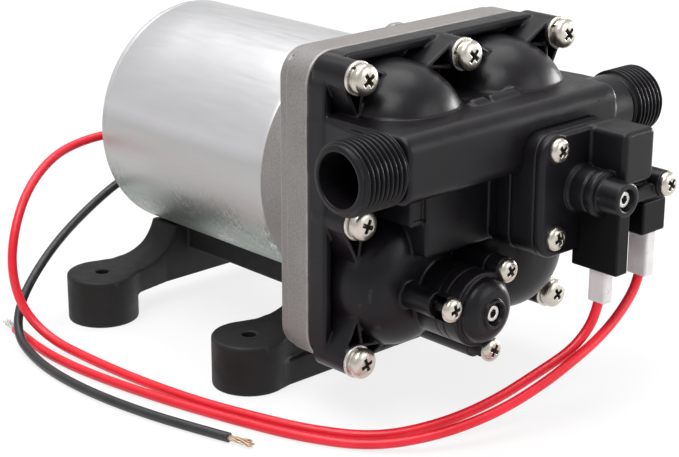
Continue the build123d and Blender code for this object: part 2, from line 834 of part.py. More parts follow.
with BuildPart() as head:
    square(head_size, head_corner, face_y, face_y - rim_depth)
    front_outline = head.faces().sort_by(Axis.Y)[0].edges()
    fillet(front_outline, rim_edge)
    rim_inner = head_size - 2 * rim_width
    square(rim_inner, head_corner - rim_width, floor_y, face_y - rim_depth, Mode.SUBTRACT)
    with BuildSketch(facing(floor_y)):
        for place, tip in web_tips():
            hollow_share = 1 - web_width / boss_radius
            with Locations(place):
                Polygon(*web_triangle(tip, boss_radius), align=None)
                inner_tip = (tip[0] * hollow_share, tip[1] * hollow_share)
                Polygon(*web_triangle(inner_tip, boss_radius * hollow_share), align=None, mode=Mode.SUBTRACT)
    extrude(amount=boss_height - head_floor - web_setback)
    bar(screw_places, boss_radius, floor_y, boss_y)
    for x, z in dome_places:
        add(dome.part.moved(Location((x, 0, z))))
    # Manifold bar between the ports, with the pedestals that carry the ports
    half_bar = manifold_size / 2
    with BuildSketch(Plane.YZ.offset(-port_neck_start)):
        with Locations(((floor_y + manifold_front_y) / 2, port_z)):
            RectangleRounded(floor_y - manifold_front_y, manifold_size, manifold_corner)
    extrude(amount=2 * port_neck_start)
    with BuildSketch(Plane.XY.offset(port_z - half_bar + rim_edge)):
        for side in (-1, 1):
            Polygon(
                (side * pedestal_inner, face_y),
                (side * head_size / 2, face_y),
                (side * head_size / 2, face_y - rim_depth),
                (side * pedestal_outer, face_y - port_axis_depth + half_bar / 2),
                (side * pedestal_outer, port_y),
                (side * pedestal_inner, port_y),
                align=None,
            )
    extrude(amount=manifold_size - 2 * rim_edge)
    for side in (-1, 1):
        start, end = sorted((side * pedestal_inner, side * (port_tip - thread_length)))
        crossways(start, end, port_y, port_z, port_neck_radius)
        start, end = sorted((side * (port_tip - thread_length), side * port_tip))
        crossways(start, end, port_y, port_z, port_radius)
    nose_edges = head.edges().filter_by(GeomType.CIRCLE).group_by(Axis.X)
    chamfer([*nose_edges[0], *nose_edges[-1]], thread_nose)
    # Middle block and the pressure switch's seat
    centre_front_y = face_y - centre_block_depth
    centre_bottom = axis_height + centre_block_low
    centre = (centre_block_left, switch_right, centre_bottom, port_z)
    block(*centre, floor_y, centre_front_y, centre_block_corner)
    switch_seat_y = face_y - switch_boss_depth
    block(switch_left, switch_right, switch_bottom, switch_top, floor_y, switch_seat_y, switch_corner)
    room = (switch_left - fit_gap, switch_right + fit_gap, switch_bottom, switch_top + fit_gap)
    block(*room, switch_seat_y, manifold_front_y - overrun, mode=Mode.SUBTRACT)
    # Bypass housing: a round body with three screw pillars
    bypass_front_y = face_y - bypass_depth
    bar([(bypass_x, bypass_z)], bypass_body_radius, floor_y, bypass_front_y)
    with BuildSketch(facing(floor_y)):
        with Locations((bypass_x, bypass_z)):
            with PolarLocations(bypass_screw_circle, 3, start_angle=bypass_screw_turn):
                Circle(bypass_lobe_radius)
            with PolarLocations(bypass_screw_circle / 2, 3, start_angle=bypass_screw_turn):
                Rectangle(bypass_screw_circle, bypass_lobe_radius)
    extrude(amount=floor_y - bypass_front_y)
    # Hollows: dome pockets, port bores, passages and screw holes
    pocket_radius = dome_radius - dome_wall
    bar(dome_places, pocket_radius, face_y, face_y - dome_straight, Mode.SUBTRACT)
    bar(dome_places, pocket_radius / 2, face_y - dome_straight, face_y - dome_pocket_depth, Mode.SUBTRACT)
    crossways(-port_tip, -inlet_bore_end, port_y, port_z, port_bore, Mode.SUBTRACT)
    crossways(outlet_bore_end, port_tip, port_y, port_z, port_bore, Mode.SUBTRACT)
    seat_start = outlet_bore_end - check_seat_length
    crossways(seat_start, outlet_bore_end, port_y, port_z, check_seat_radius, Mode.SUBTRACT)
    bar([(-inlet_bore_end - passage_radius, port_z)], passage_radius, face_y, port_y, Mode.SUBTRACT)
    outlet_passage = (seat_start + passage_radius, port_z)
    bar([outlet_passage], passage_radius, face_y - dome_straight + dome_wall, port_y, Mode.SUBTRACT)
    bypass_floor_y = bypass_front_y + bypass_bore_depth
    bar([(bypass_x, bypass_z)], bypass_bore_radius, bypass_floor_y, bypass_front_y, Mode.SUBTRACT)
    passage_end_y = bypass_floor_y + bypass_passage_depth
    bar([(bypass_x, bypass_z)], passage_radius, passage_end_y, bypass_floor_y, Mode.SUBTRACT)
    switch_passage_y = face_y - dome_straight + dome_wall
    bar([(switch_axis_x, switch_axis_z)], passage_radius, switch_passage_y, switch_seat_y, Mode.SUBTRACT)
    bar(screw_places, head_screw_radius + fit_gap, face_y, boss_y, Mode.SUBTRACT)
    bypass_screw_places = [
        (
            bypass_x + bypass_screw_circle * cos(radians(bypass_screw_turn + 120 * turn)),
            bypass_z + bypass_screw_circle * sin(radians(bypass_screw_turn + 120 * turn)),
        )
        for turn in range(3)
    ]
    thread_y = bypass_front_y + small_screw_grip
    bar(bypass_screw_places, small_screw_radius, thread_y, bypass_front_y, Mode.SUBTRACT)
    switch_screw_places = [
        (switch_left + switch_screw_inset, switch_top - switch_screw_drop),
        (switch_left + switch_screw_inset, switch_bottom + switch_screw_inset),
    ]
    thread_y = switch_seat_y + small_screw_grip
    bar(switch_screw_places, small_screw_radius, thread_y, switch_seat_y, Mode.SUBTRACT)
head.part.label = "pump_head"
pieces.append(head)

# Head screws with their lock washers and flat washers
washer_front_y = boss_y - flat_washer_thickness
lock_front_y = washer_front_y - lock_washer_thickness


def pan_head(places, radius, height, seat_y):
    """Pan heads standing on seat_y: a short straight side under a crowned top."""
    straight = height * crown_share
    for x, z in places:
        with BuildSketch(Plane.YZ.offset(x)) as profile:
            with BuildLine():
                front_y = seat_y - height
                crown_y = front_y + (height - straight) * crown_share
                Polyline(
                    (front_y, z),
                    (seat_y, z),
                    (seat_y, z + radius),
                    (seat_y - straight, z + radius),
                    (crown_y, z + radius * (1 - crown_share / 2)),
                    (front_y, z + radius * crown_share),
                    (front_y, z),
                )
            make_face()
        revolve(profile.sketch, axis=Axis((x, seat_y, z), (0, 1, 0)))


with BuildPart() as head_screws:
    pan_head(screw_places, head_screw_head_radius, head_screw_head_height, lock_front_y)
    bar(screw_places, head_screw_radius, face_y + head_screw_engagement, lock_front_y)
head_screws.part.label = "head_screws"
pieces.append(head_screws)

with BuildPart() as flat_washers:
    bar(screw_places, flat_washer_radius, boss_y, washer_front_y)
    bar(screw_places, head_screw_radius + fit_gap, boss_y, washer_front_y, Mode.SUBTRACT)
flat_washers.part.label = "flat_washers"
pieces.append(flat_washers)

with BuildPart() as lock_washers:
    with BuildSketch(facing(washer_front_y)):
        with Locations(*screw_places):
            Circle(lock_washer_radius)
            Circle(head_screw_radius + fit_gap, mode=Mode.SUBTRACT)
        with Locations(*[(x, z + lock_washer_radius) for x, z in screw_places]):
            Rectangle(lock_washer_slit, 2 * lock_washer_radius, mode=Mode.SUBTRACT)
    extrude(amount=lock_washer_thickness)
lock_washers.part.label = "lock_washers"
pieces.append(lock_washers)

# Check valve in the outlet bore
poppet_start = outlet_bore_end + running_gap
poppet_end = poppet_start + check_poppet_thickness
guide_start = poppet_end + check_guide_place
with BuildPart() as check_poppet:
    crossways(poppet_start, poppet_end, port_y, port_z, check_poppet_radius)
    crossways(poppet_end, poppet_end + check_stem_length, port_y, port_z, check_stem_radius)
    crossways(poppet_start - check_tail_length, poppet_start, port_y, port_z, check_stem_radius)
check_poppet.part.label = "check_valve_poppet"
pieces.append(check_poppet)

with BuildPart() as check_guide:
    guide_end = guide_start + check_guide_thickness
    crossways(guide_start, guide_end, port_y, port_z, check_guide_radius)
    crossways(guide_start, guide_end, port_y, port_z, check_stem_radius + fit_gap, Mode.SUBTRACT)
    with BuildSketch(Plane.YZ.offset(guide_start)):
        with Locations((port_y, port_z)):
            with PolarLocations(check_guide_hole_circle, 4):
                Circle(check_stem_radius)
    extrude(amount=check_guide_thickness, mode=Mode.SUBTRACT)
check_guide.part.label = "check_valve_guide"
pieces.append(check_guide)

half_wire = spring_wire * wire_spread_share / 2
coil_start = poppet_end + half_wire + fit_gap
coil_end = guide_start - half_wire - fit_gap
check_coil = coil((0, 0), check_spring_radius, coil_start, coil_end, spring_turns, spring_wire)
with BuildPart() as check_spring:
    turned = check_coil.part.rotate(Axis.Z, -90)
    add(turned.translate((0, port_y, port_z)))
check_spring.part.label = "check_valve_spring"
pieces.append(check_spring)

# Bypass valve: poppet, spring, spring seat, adjusting screw and cap
bypass_place = (bypass_x, bypass_z)
with BuildPart() as bypass_poppet:
    poppet_rear_y = bypass_floor_y - running_gap
    poppet_front_y = poppet_rear_y - bypass_poppet_thickness
    bar([bypass_place], bypass_poppet_radius, poppet_rear_y, poppet_front_y)
    spigot_front_y = poppet_front_y - spring_spigot_length
    bar([bypass_place], bypass_spring_radius - spring_wire, poppet_front_y, spigot_front_y)
bypass_poppet.part.label = "bypass_poppet"
pieces.append(bypass_poppet)

cap_seat_y = bypass_front_y
nose_y = cap_seat_y - bypass_nose_depth
screw_front_y = nose_y + adjuster_recess
screw_rear_y = screw_front_y + adjuster_length
with BuildPart() as bypass_seat:
    seat_front_y = screw_rear_y
    seat_rear_y = seat_front_y + bypass_poppet_thickness
    bar([bypass_place], bypass_bore_radius - 2 * running_gap, seat_rear_y, seat_front_y)
    bar([bypass_place], bypass_spring_radius - spring_wire, seat_rear_y + spring_spigot_length, seat_rear_y)
bypass_seat.part.label = "bypass_spring_seat"
pieces.append(bypass_seat)

bypass_spring = coil(
    bypass_place,
    bypass_spring_radius,
    poppet_front_y - half_wire - fit_gap,
    seat_rear_y + half_wire + fit_gap,
    spring_turns,
    spring_wire,
)
bypass_spring.part.label = "bypass_spring"
pieces.append(bypass_spring)


def grub_screw(place, rear_y, front_y):
    """A socket set screw with its hexagon open to the front."""
    bar([place], adjuster_radius, rear_y, front_y)
    with BuildSketch(facing(front_y)) as socket:
        with Locations(place):
            RegularPolygon(hex_key_width / 2, 6, major_radius=False)
    extrude(socket.sketch, amount=-hex_key_depth, mode=Mode.SUBTRACT)


with BuildPart() as bypass_screw:
    grub_screw(bypass_place, screw_rear_y, screw_front_y)
bypass_screw.part.label = "bypass_adjusting_screw"
pieces.append(bypass_screw)

with BuildPart() as bypass_cap:
    flange_y = cap_seat_y - bypass_flange
    with BuildSketch(facing(cap_seat_y)):
        with Locations(bypass_place):
            Circle(bypass_body_radius)
            with PolarLocations(bypass_screw_circle, 3, start_angle=bypass_screw_turn):
                Circle(bypass_lobe_radius)
            with PolarLocations(bypass_screw_circle / 2, 3, start_angle=bypass_screw_turn):
                Rectangle(bypass_screw_circle, 2 * bypass_lobe_radius)
    extrude(amount=bypass_flange)
    with BuildSketch(Plane.YZ.offset(bypass_x)):
        with BuildLine():
            z = bypass_z
            bell_y = flange_y - bypass_bell_step
            Polyline(
                (nose_y, z),
                (flange_y + bypass_bell_step, z),
                (flange_y + bypass_bell_step, z + bypass_bell_radius),
                (bell_y, z + bypass_bell_radius),
            )
            Spline(
                (bell_y, z + bypass_bell_radius),
                (nose_y + bypass_bell_step, z + bypass_nose_radius),
                tangents=((-1, 0), (-1, -1)),
            )
            Line((nose_y + bypass_bell_step, z + bypass_nose_radius), (nose_y, z + bypass_nose_radius))
            Line((nose_y, z + bypass_nose_radius), (nose_y, z))
        make_face()
    revolve(axis=Axis((bypass_x, nose_y, bypass_z), (0, 1, 0)))
    travel_room = 2 * running_gap + bypass_seat_height
    bar([bypass_place], bypass_bore_radius, cap_seat_y, seat_front_y - travel_room, Mode.SUBTRACT)
    bar([bypass_place], adjuster_radius + adjuster_thread_gap, cap_seat_y, nose_y, Mode.SUBTRACT)
    bar(bypass_screw_places, small_screw_radius + fit_gap, cap_seat_y, flange_y, Mode.SUBTRACT)
bypass_cap.part.label = "bypass_cap"
pieces.append(bypass_cap)

with BuildPart() as bypass_screws:
    pan_head(bypass_screw_places, small_screw_head_radius, small_screw_head_height, flange_y)
    tip_y = cap_seat_y + small_screw_grip - running_gap
    bar(bypass_screw_places, small_screw_radius - fit_gap, tip_y, flange_y)
bypass_screws.part.label = "bypass_screws"
pieces.append(bypass_screws)

# Pressure switch: diaphragm, plate, piston, spring, seat, adjusting screw and cover
switch_place = (switch_axis_x, switch_axis_z)
plate_front_y = switch_seat_y - switch_plate_thickness
with BuildPart() as switch_plate:
    block(switch_left, switch_right, switch_bottom, switch_top, switch_seat_y, plate_front_y, switch_corner)
    recess_y = switch_seat_y - switch_diaphragm_thickness
    bar([switch_place], switch_diaphragm_radius, switch_seat_y, recess_y, Mode.SUBTRACT)
    bar([switch_place], switch_piston_radius + fit_gap, recess_y, plate_front_y, Mode.SUBTRACT)
    bar(switch_screw_places, small_screw_radius + fit_gap, switch_seat_y, plate_front_y, Mode.SUBTRACT)
switch_plate.part.label = "switch_plate"
pieces.append(switch_plate)

with BuildPart() as switch_diaphragm:
    bar([switch_place], switch_diaphragm_radius - fit_gap, switch_seat_y, recess_y)
switch_diaphragm.part.label = "switch_diaphragm"
pieces.append(switch_diaphragm)

piston_rear_y = recess_y - running_gap
piston_front_y = plate_front_y + switch_piston_recess
with BuildPart() as switch_piston:
    bar([switch_place], switch_piston_radius, piston_rear_y, piston_front_y)
    spigot_front_y = piston_front_y - spring_spigot_length
    bar([switch_place], switch_spring_radius - spring_wire, piston_front_y, spigot_front_y)
switch_piston.part.label = "switch_piston"
pieces.append(switch_piston)

barrel_front_y = cover_y - barrel_length
adjuster_front_y = barrel_front_y + adjuster_recess
adjuster_rear_y = adjuster_front_y + adjuster_length
with BuildPart() as switch_screw:
    grub_screw(switch_place, adjuster_rear_y, adjuster_front_y)
switch_screw.part.label = "switch_adjusting_screw"
pieces.append(switch_screw)

with BuildPart() as switch_seat:
    switch_seat_front_y = adjuster_rear_y
    switch_seat_rear_y = switch_seat_front_y + switch_seat_thickness
    bar([switch_place], adjuster_radius - running_gap, switch_seat_rear_y, switch_seat_front_y)
switch_seat.part.label = "switch_spring_seat"
pieces.append(switch_seat)

switch_spring = coil(
    switch_place,
    switch_spring_radius,
    piston_front_y - half_wire - fit_gap,
    switch_seat_rear_y + half_wire + fit_gap,
    switch_turns,
    spring_wire,
)
switch_spring.part.label = "switch_spring"
pieces.append(switch_spring)

with BuildPart() as switch_cover:
    block(switch_left, switch_right, switch_bottom, switch_top, plate_front_y, cover_y, switch_corner)
    fillet(switch_cover.faces().sort_by(Axis.Y)[0].edges(), block_edge / 2)
    block_bottom = axis_height + upper_block_low
    block_front_y = cover_y - upper_block_length
    block(upper_block_left, switch_right, block_bottom, switch_top, plate_front_y, block_front_y)
    block_edges = switch_cover.edges().filter_by(
        lambda edge: edge.center().Y < cover_y - fit_gap and edge.center().Z > block_bottom + fit_gap
    )
    fillet(block_edges, block_edge)
    bar([switch_place], barrel_base_radius, plate_front_y, cover_y - barrel_base_length)
    collar_y = cover_y - barrel_base_length - barrel_collar_length
    bar([switch_place], barrel_collar_radius, cover_y, collar_y)
    bar([switch_place], barrel_radius, cover_y, barrel_front_y)
    pillar_place = (pillar_x, axis_height + pillar_rise)
    pillar_rear_y = cover_y - pillar_rear
    pillar_front_y = cover_y - pillar_front
    bar([pillar_place], pillar_radius, pillar_rear_y, pillar_front_y)
    # An arm ties the pillar to the barrel, and a lug behind it to the upper block
    arm_bottom = axis_height + arm_low
    arm_front_y = pillar_front_y + web_width
    arm_rear_y = arm_front_y + arm_depth
    block(switch_axis_x, pillar_x, arm_bottom, arm_bottom + arm_height, arm_rear_y, arm_front_y)
    lug = (switch_right - block_edge, pillar_x, pillar_place[1], pillar_place[1] + pillar_radius)
    block(*lug, pillar_rear_y, arm_rear_y)
    bar([switch_place], adjuster_radius + adjuster_thread_gap, plate_front_y, barrel_front_y, Mode.SUBTRACT)
    relief_front_y = plate_front_y - rim_edge
    bar([switch_place], switch_piston_radius - rim_edge, plate_front_y, relief_front_y, Mode.SUBTRACT)
    bar(switch_screw_places, small_screw_radius + fit_gap, plate_front_y, cover_y, Mode.SUBTRACT)
    bar([pillar_place], small_screw_radius + fit_gap, pillar_rear_y, pillar_front_y, Mode.SUBTRACT)
switch_cover.part.label = "switch_cover"
pieces.append(switch_cover)

# Snap switch: a hood over the left spade, a bridge behind and a block over the right spade
microswitch_right = microswitch_left + microswitch_width
microswitch_bottom = axis_height + microswitch_low
microswitch_top = axis_height + microswitch_high
terminal_block_bottom = axis_height + terminal_block_low
terminal_block_top = axis_height + terminal_block_high
spade_y = cover_y - spade_depth
spades = (
    ((microswitch_left + microswitch_right) / 2, microswitch_bottom + insulator_pocket),
    ((terminal_block_left + terminal_block_right) / 2, terminal_block_bottom),
)
with BuildPart() as microswitch:
    hood = (microswitch_left, microswitch_right, microswitch_bottom, microswitch_top)
    block(*hood, cover_y, cover_y - microswitch_length)
    fillet(microswitch.edges().filter_by(Axis.Y).group_by(Axis.Z)[0], block_edge / 4)
    bridge = (microswitch_right, switch_right, terminal_block_bottom, microswitch_top)
    block(*bridge, cover_y, cover_y - microswitch_bridge)
    terminal_block = (terminal_block_left, terminal_block_right, terminal_block_bottom, terminal_block_top)
    block(*terminal_block, cover_y - terminal_block_rear, cover_y - terminal_block_front)
    with BuildSketch(Plane.XY.offset(microswitch_bottom)):
        with Locations((spades[0][0], spade_y)):
            Rectangle(insulator_depth + 2 * pocket_gap, insulator_width + 2 * pocket_gap)
    extrude(amount=insulator_pocket, mode=Mode.SUBTRACT)
microswitch.part.label = "microswitch"
pieces.append(microswitch)

# The switch's screws: two through the cover, one in the pillar at the right
with BuildPart() as switch_screws:
    pan_head(switch_screw_places, small_screw_head_radius, small_screw_head_height, cover_y)
    tip_y = switch_seat_y + small_screw_grip - running_gap
    bar(switch_screw_places, small_screw_radius - fit_gap, tip_y, cover_y)
    pan_head([pillar_place], small_screw_head_radius, small_screw_head_height, pillar_front_y)
    bar([pillar_place], small_screw_radius - fit_gap, pillar_rear_y, pillar_front_y)
switch_screws.part.label = "switch_screws"
pieces.append(switch_screws)

# Spade terminals, their receptacles and the two sleeves over them
with BuildPart() as spade_tabs:
    for x, top in spades:
        with BuildSketch(Plane.XY.offset(top - tab_length)):
            with Locations((x, spade_y)):
                Rectangle(tab_thickness, tab_width)
        extrude(amount=tab_length)
spade_tabs.part.label = "spade_tabs"
pieces.append(spade_tabs)

with BuildPart() as receptacles:
    for x, top in spades:
        with BuildSketch(Plane.XY.offset(top - tab_length - receptacle_wall)):
            with Locations((x, spade_y)):
                Rectangle(tab_thickness + 3 * receptacle_wall, tab_width + 2 * receptacle_wall)
        extrude(amount=tab_length)
        with BuildSketch(Plane.XY.offset(top - tab_length)):
            with Locations((x, spade_y)):
                Rectangle(tab_thickness + receptacle_wall / 2, tab_width + receptacle_wall / 2)
        extrude(amount=tab_length, mode=Mode.SUBTRACT)
receptacles.part.label = "spade_receptacles"
pieces.append(receptacles)

with BuildPart() as sleeves:
    for x, top in spades:
        with BuildSketch(Plane.XY.offset(top - insulator_length)):
            with Locations((x, spade_y)):
                RectangleRounded(insulator_depth, insulator_width, insulator_wall)
        extrude(amount=insulator_length)
        cavity = insulator_length - insulator_neck_length
        with BuildSketch(Plane.XY.offset(top - cavity)):
            with Locations((x, spade_y)):
                Rectangle(insulator_depth - 2 * insulator_wall, insulator_width - 2 * insulator_wall)
        extrude(amount=cavity, mode=Mode.SUBTRACT)
sleeves.part.label = "spade_sleeves"
pieces.append(sleeves)

# Rubber base: feet, arms that rise in a hollow curve to the can, a spine under it, a bar in front
hole_half_x = hole_spacing_x / 2
hole_half_y = hole_spacing_y / 2
foot_places = [(x, y) for x in (-hole_half_x, hole_half_x) for y in (-hole_half_y, hole_half_y)]
arm_tip_height = can_underside + arm_tip_rise
spine_bottom = can_underside - spine_drop
with BuildPart() as feet:
    with BuildSketch(Plane.XY):
        with Locations(*foot_places):
            Circle(foot_radius)
    extrude(amount=foot_height)
    chamfer(feet.faces().group_by(Axis.Z)[-1].edges(), foot_edge)

with BuildPart() as base:
    for row in (-1, 1):
        rear_y = row * hole_half_y + arm_width_at_foot / 2
        with BuildSketch(facing(rear_y)):
            for side in (-1, 1):
                with BuildLine():
                    waist = (side * arm_waist_half, foot_height + arm_waist_rise)
                    bend = (side * arm_bend_half, can_underside - arm_bend_drop)
                    tip = (side * arm_tip_half, arm_tip_height)
                    ThreePointArc(waist, bend, tip)
                    Polyline(
                        tip,
                        (0, arm_tip_height),
                        (0, arm_underside),
                        (side * (hole_half_x - foot_radius / 2), arm_underside),
                        (side * hole_half_x, 0),
                        (side * hole_half_x, foot_height - foot_edge),
                        waist,
                    )
                make_face()
        extrude(amount=arm_width_at_foot)
    with BuildSketch(Plane.XY):
        for row in (-1, 1):
            half_root = arm_root_half_width
            half_can = arm_width_at_can / 2
            middle = row * hole_half_y
            Polygon(
                (-hole_half_x, middle - half_root),
                (-arm_bend_half, middle - half_can),
                (arm_bend_half, middle - half_can),
                (hole_half_x, middle - half_root),
                (hole_half_x, middle + half_root),
                (arm_bend_half, middle + half_can),
                (-arm_bend_half, middle + half_can),
                (-hole_half_x, middle + half_root),
                align=None,
            )
    extrude(amount=axis_height, mode=Mode.INTERSECT)
    spine_length = hole_spacing_y + arm_width_at_can
    with BuildSketch(Plane.XY.offset(spine_bottom)):
        Rectangle(2 * spine_half_width, spine_length)
    extrude(amount=arm_tip_height - spine_bottom)
    with BuildSketch(Plane.XY):
        with Locations((0, -hole_half_y - front_bar_reach + front_bar_width / 2)):
            Rectangle(hole_spacing_x - 2 * foot_radius / 3, front_bar_width)
    extrude(amount=front_bar_height)
    add(feet.part)
    bar([(0, axis_height)], can_radius + cradle_gap, can_rear_y, can_front_y, Mode.SUBTRACT)
    bar([(0, axis_height)], neck_radius + cradle_gap, can_front_y, face_y, Mode.SUBTRACT)
    with BuildSketch(Plane.XY):
        with Locations(*foot_places):
            Circle(foot_hole_radius)
    extrude(amount=foot_height, mode=Mode.SUBTRACT)
    with BuildSketch(Plane.XY):
        with Locations(*base_screw_places):
            Circle(base_screw_radius + fit_gap)
    extrude(amount=axis_height, mode=Mode.SUBTRACT)
base.part.label = "mounting_base"
pieces.append(base)

with BuildPart() as base_screws:
    with BuildSketch(Plane.XY.offset(spine_bottom)):
        with Locations(*base_screw_places):
            Circle(base_screw_radius)
    extrude(amount=can_underside + can_wall - spine_bottom)
    with BuildSketch(Plane.XY.offset(spine_bottom)):
        with Locations(*base_screw_places):
            Circle(base_screw_head_radius)
    extrude(amount=-base_screw_head_height)
base_screws.part.label = "base_screws"
pieces.append(base_screws)

# Leads: routes chosen by hand, from the exit to the far end
red_start = (red_exit[0], bell_rear_y + grommet_flange_thickness + grommet_nose, red_exit[1])
black_start = (black_exit[0], bell_rear_y + grommet_flange_thickness + grommet_nose, black_exit[1])
jumper_route = [
    red_start,
    (-13.5, 54.0, 54.5),
    (-20.5, 60.0, 55.0),
    (-34.0, 60.4, 54.6),
    (-49.0, 56.0, 53.2),
    (-63.5, 49.4, 47.0),
    (-73.4, 43.4, 37.0),
    (-77.9, 40.0, 24.6),
    (-76.6, 36.8, 11.5),
    (-73.6, 26.0, 3.4),
    (-71.6, 6.0, 1.7),
    (-70.2, -17.0, 1.6),
    (-66.9, -41.0, 1.6),
    (-61.5, -61.0, 1.6),
    (-55.6, -79.0, 1.6),
    (-45.5, -95.5, 1.8),
    (-31.0, -106.0, 4.8),
    (-15.0, -112.0, 9.0),
    (0.4, -117.0, 16.0),
    (8.4, -120.3, 20.5),
    (14.1, -121.5, 25.1),
    (17.5, -122.2, 30.5),
    (spades[0][0], spade_y, 36.0),
]
supply_route = [
    (-75.0, 43.6, 2.0),
    (-78.2, 28.0, 1.7),
    (-79.0, 8.0, 1.6),
    (-76.8, -14.0, 1.6),
    (-72.6, -37.0, 1.6),
    (-67.2, -59.0, 1.6),
    (-61.0, -80.0, 1.6),
    (-51.0, -98.5, 1.8),
    (-37.5, -111.0, 5.0),
    (-21.0, -118.4, 9.2),
    (-5.0, -122.2, 14.7),
    (8.5, -124.2, 20.6),
    (17.2, -123.8, 23.3),
    (24.6, -123.4, 26.6),
    (31.5, -122.9, 31.1),
    (35.9, -122.5, 35.6),
    (spades[1][0], spade_y, 40.1),
]
black_route = [
    black_start,
    (-13.5, 53.0, 42.5),
    (-19.0, 60.5, 37.0),
    (-31.0, 61.0, 30.6),
    (-48.0, 54.6, 25.2),
    (-63.0, 47.6, 18.8),
    (-74.4, 41.6, 11.2),
    (-80.6, 34.2, 4.4),
    (-83.8, 21.0, 1.8),
    (-86.4, 4.0, 1.6),
    (-86.4, -16.0, 1.6),
    (-83.6, -37.0, 1.6),
    (-79.6, -54.0, 1.6),
    (-76.2, -66.4, 1.6),
]


def bend_radii(points):
    """The largest arc at each corner that its two runs leave room for."""
    radii = []
    for before, corner, after in zip(points, points[1:], points[2:]):
        run_in = Vector(*corner) - Vector(*before)
        run_out = Vector(*after) - Vector(*corner)
        turn = radians(run_in.get_angle(run_out))
        radii.append(arc_share * min(run_in.length, run_out.length) / tan(turn / 2))
    return radii


def lead(points, label):
    """A lead's tube along its route, with its length and its tightest bends printed."""
    radii = bend_radii(points)
    with BuildPart() as tube:
        with BuildLine() as route:
            FilletPolyline(*points, radius=radii)
        with BuildSketch(Plane(origin=route.line @ 0, z_dir=route.line % 0)):
            Circle(lead_radius)
        sweep()
    tube.part.label = label
    length = sum(edge.length for edge in route.edges())
    share = tube.part.volume / (pi * lead_radius**2 * length)
    tightest = ", ".join(f"{radius:.0f}" for radius in sorted(radii)[:4])
    print(f"{label}: length {length:.1f}, volume over section times length {share:.4f}")
    print(f"{label}: radii from {tightest}")
    return tube


for route_points, lead_name in (
    (jumper_route, "red_jumper_lead"),
    (supply_route, "red_supply_lead"),
    (black_route, "black_supply_lead"),
):
    pieces.append(lead(route_points, lead_name))


def bare_end(tip, before, label):
    """The stripped strands that carry on from a lead's cut end, spreading a little."""
    way = (Vector(*tip) - Vector(*before)).normalized()
    with BuildPart() as strands:
        with BuildSketch(Plane(origin=tip, z_dir=way)):
            Circle(core_radius)
        with BuildSketch(Plane(origin=Vector(*tip) + way * core_length_bare, z_dir=way)):
            Circle(core_flare)
        loft(ruled=True)
    strands.part.label = label
    return strands


pieces.append(bare_end(supply_route[0], supply_route[1], "supply_lead_strands"))
pieces.append(bare_end(black_route[-1], black_route[-2], "black_lead_strands"))

for piece in pieces:
    export_step(piece.part, f"parts/{piece.part.label}.step")
print(len(pieces), "pieces")
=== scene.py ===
"""The visual model of a 12 volt caravan water pump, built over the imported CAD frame. Metres throughout."""
from math import cos, pi, radians, sin

import bpy
import numpy as np
from mathutils import Matrix, Vector


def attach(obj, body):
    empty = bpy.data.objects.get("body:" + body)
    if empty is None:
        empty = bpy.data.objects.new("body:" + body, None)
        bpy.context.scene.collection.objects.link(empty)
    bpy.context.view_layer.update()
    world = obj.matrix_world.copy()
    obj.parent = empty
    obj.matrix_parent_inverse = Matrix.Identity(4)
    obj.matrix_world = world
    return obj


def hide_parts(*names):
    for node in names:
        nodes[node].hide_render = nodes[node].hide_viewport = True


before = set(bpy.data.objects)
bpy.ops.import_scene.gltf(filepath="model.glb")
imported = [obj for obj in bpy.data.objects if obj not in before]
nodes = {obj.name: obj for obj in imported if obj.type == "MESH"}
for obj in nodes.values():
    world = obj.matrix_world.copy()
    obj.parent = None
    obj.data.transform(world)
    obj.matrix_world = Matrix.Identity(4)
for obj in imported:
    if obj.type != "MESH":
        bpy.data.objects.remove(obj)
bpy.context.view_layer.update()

MM = 0.001

# Camera


def add_camera():
    data = bpy.data.cameras.new("camera")
    data.lens = 97.17
    data.sensor_width = 36.0
    data.clip_start = 0.02
    camera = bpy.data.objects.new("camera", data)
    bpy.context.scene.collection.objects.link(camera)
    right, up, back = (0.7293, -0.6842, 0.002), (0.2199, 0.2372, 0.9463), (-0.6479, -0.6897, 0.3234)
    turn = Matrix((right, up, back)).transposed()
    camera.matrix_world = Matrix.Translation((-0.3794, -0.4351, 0.2276)) @ turn.to_4x4()
    bpy.context.scene.camera = camera


add_camera()
bpy.context.scene.view_settings.view_transform = "Standard"

# Material helpers


class Tree:
    """A node tree, emptied and then built up by short calls."""

    def __init__(self, owner):
        owner.use_nodes = True
        self.tree = owner.node_tree
        self.tree.nodes.clear()

    def node(self, kind, **settings):
        made = self.tree.nodes.new(kind)
        for key, value in settings.items():
            setattr(made, key, value)
        return made

    def link(self, source, target):
        self.tree.links.new(source, target)

    def feed(self, sockets, values):
        """Gives each socket its number, its colour or the link that drives it."""
        for socket, value in zip(sockets, values):
            if isinstance(value, (int, float)):
                socket.default_value = value
            elif isinstance(value, tuple):
                socket.default_value = (*value, 1.0)
            else:
                self.link(value, socket)

    def fed(self, kind, **values):
        """A node with its named sockets fed."""
        made = self.node(kind)
        self.feed([made.inputs[key.replace("_", " ")] for key in values], values.values())
        return made

    def maths(self, operation, *values):
        made = self.node("ShaderNodeMath", operation=operation)
        self.feed(made.inputs, values)
        return made.outputs[0]

    def mixed(self, share, first, second):
        """The first shader faded into the second."""
        made = self.node("ShaderNodeMixShader")
        self.feed(made.inputs, (share, first, second))
        return made.outputs[0]

    def ramp(self, value, *stops):
        """A colour ramp through (position, colour) stops."""
        made = self.node("ShaderNodeValToRGB")
        elements = made.color_ramp.elements
        while len(elements) < len(stops):
            elements.new(0.5)
        for element, (position, colour) in zip(elements, stops):
            element.position = position
            element.color = (*colour, 1.0)
        self.link(value, made.inputs[0])
        return made.outputs[0]


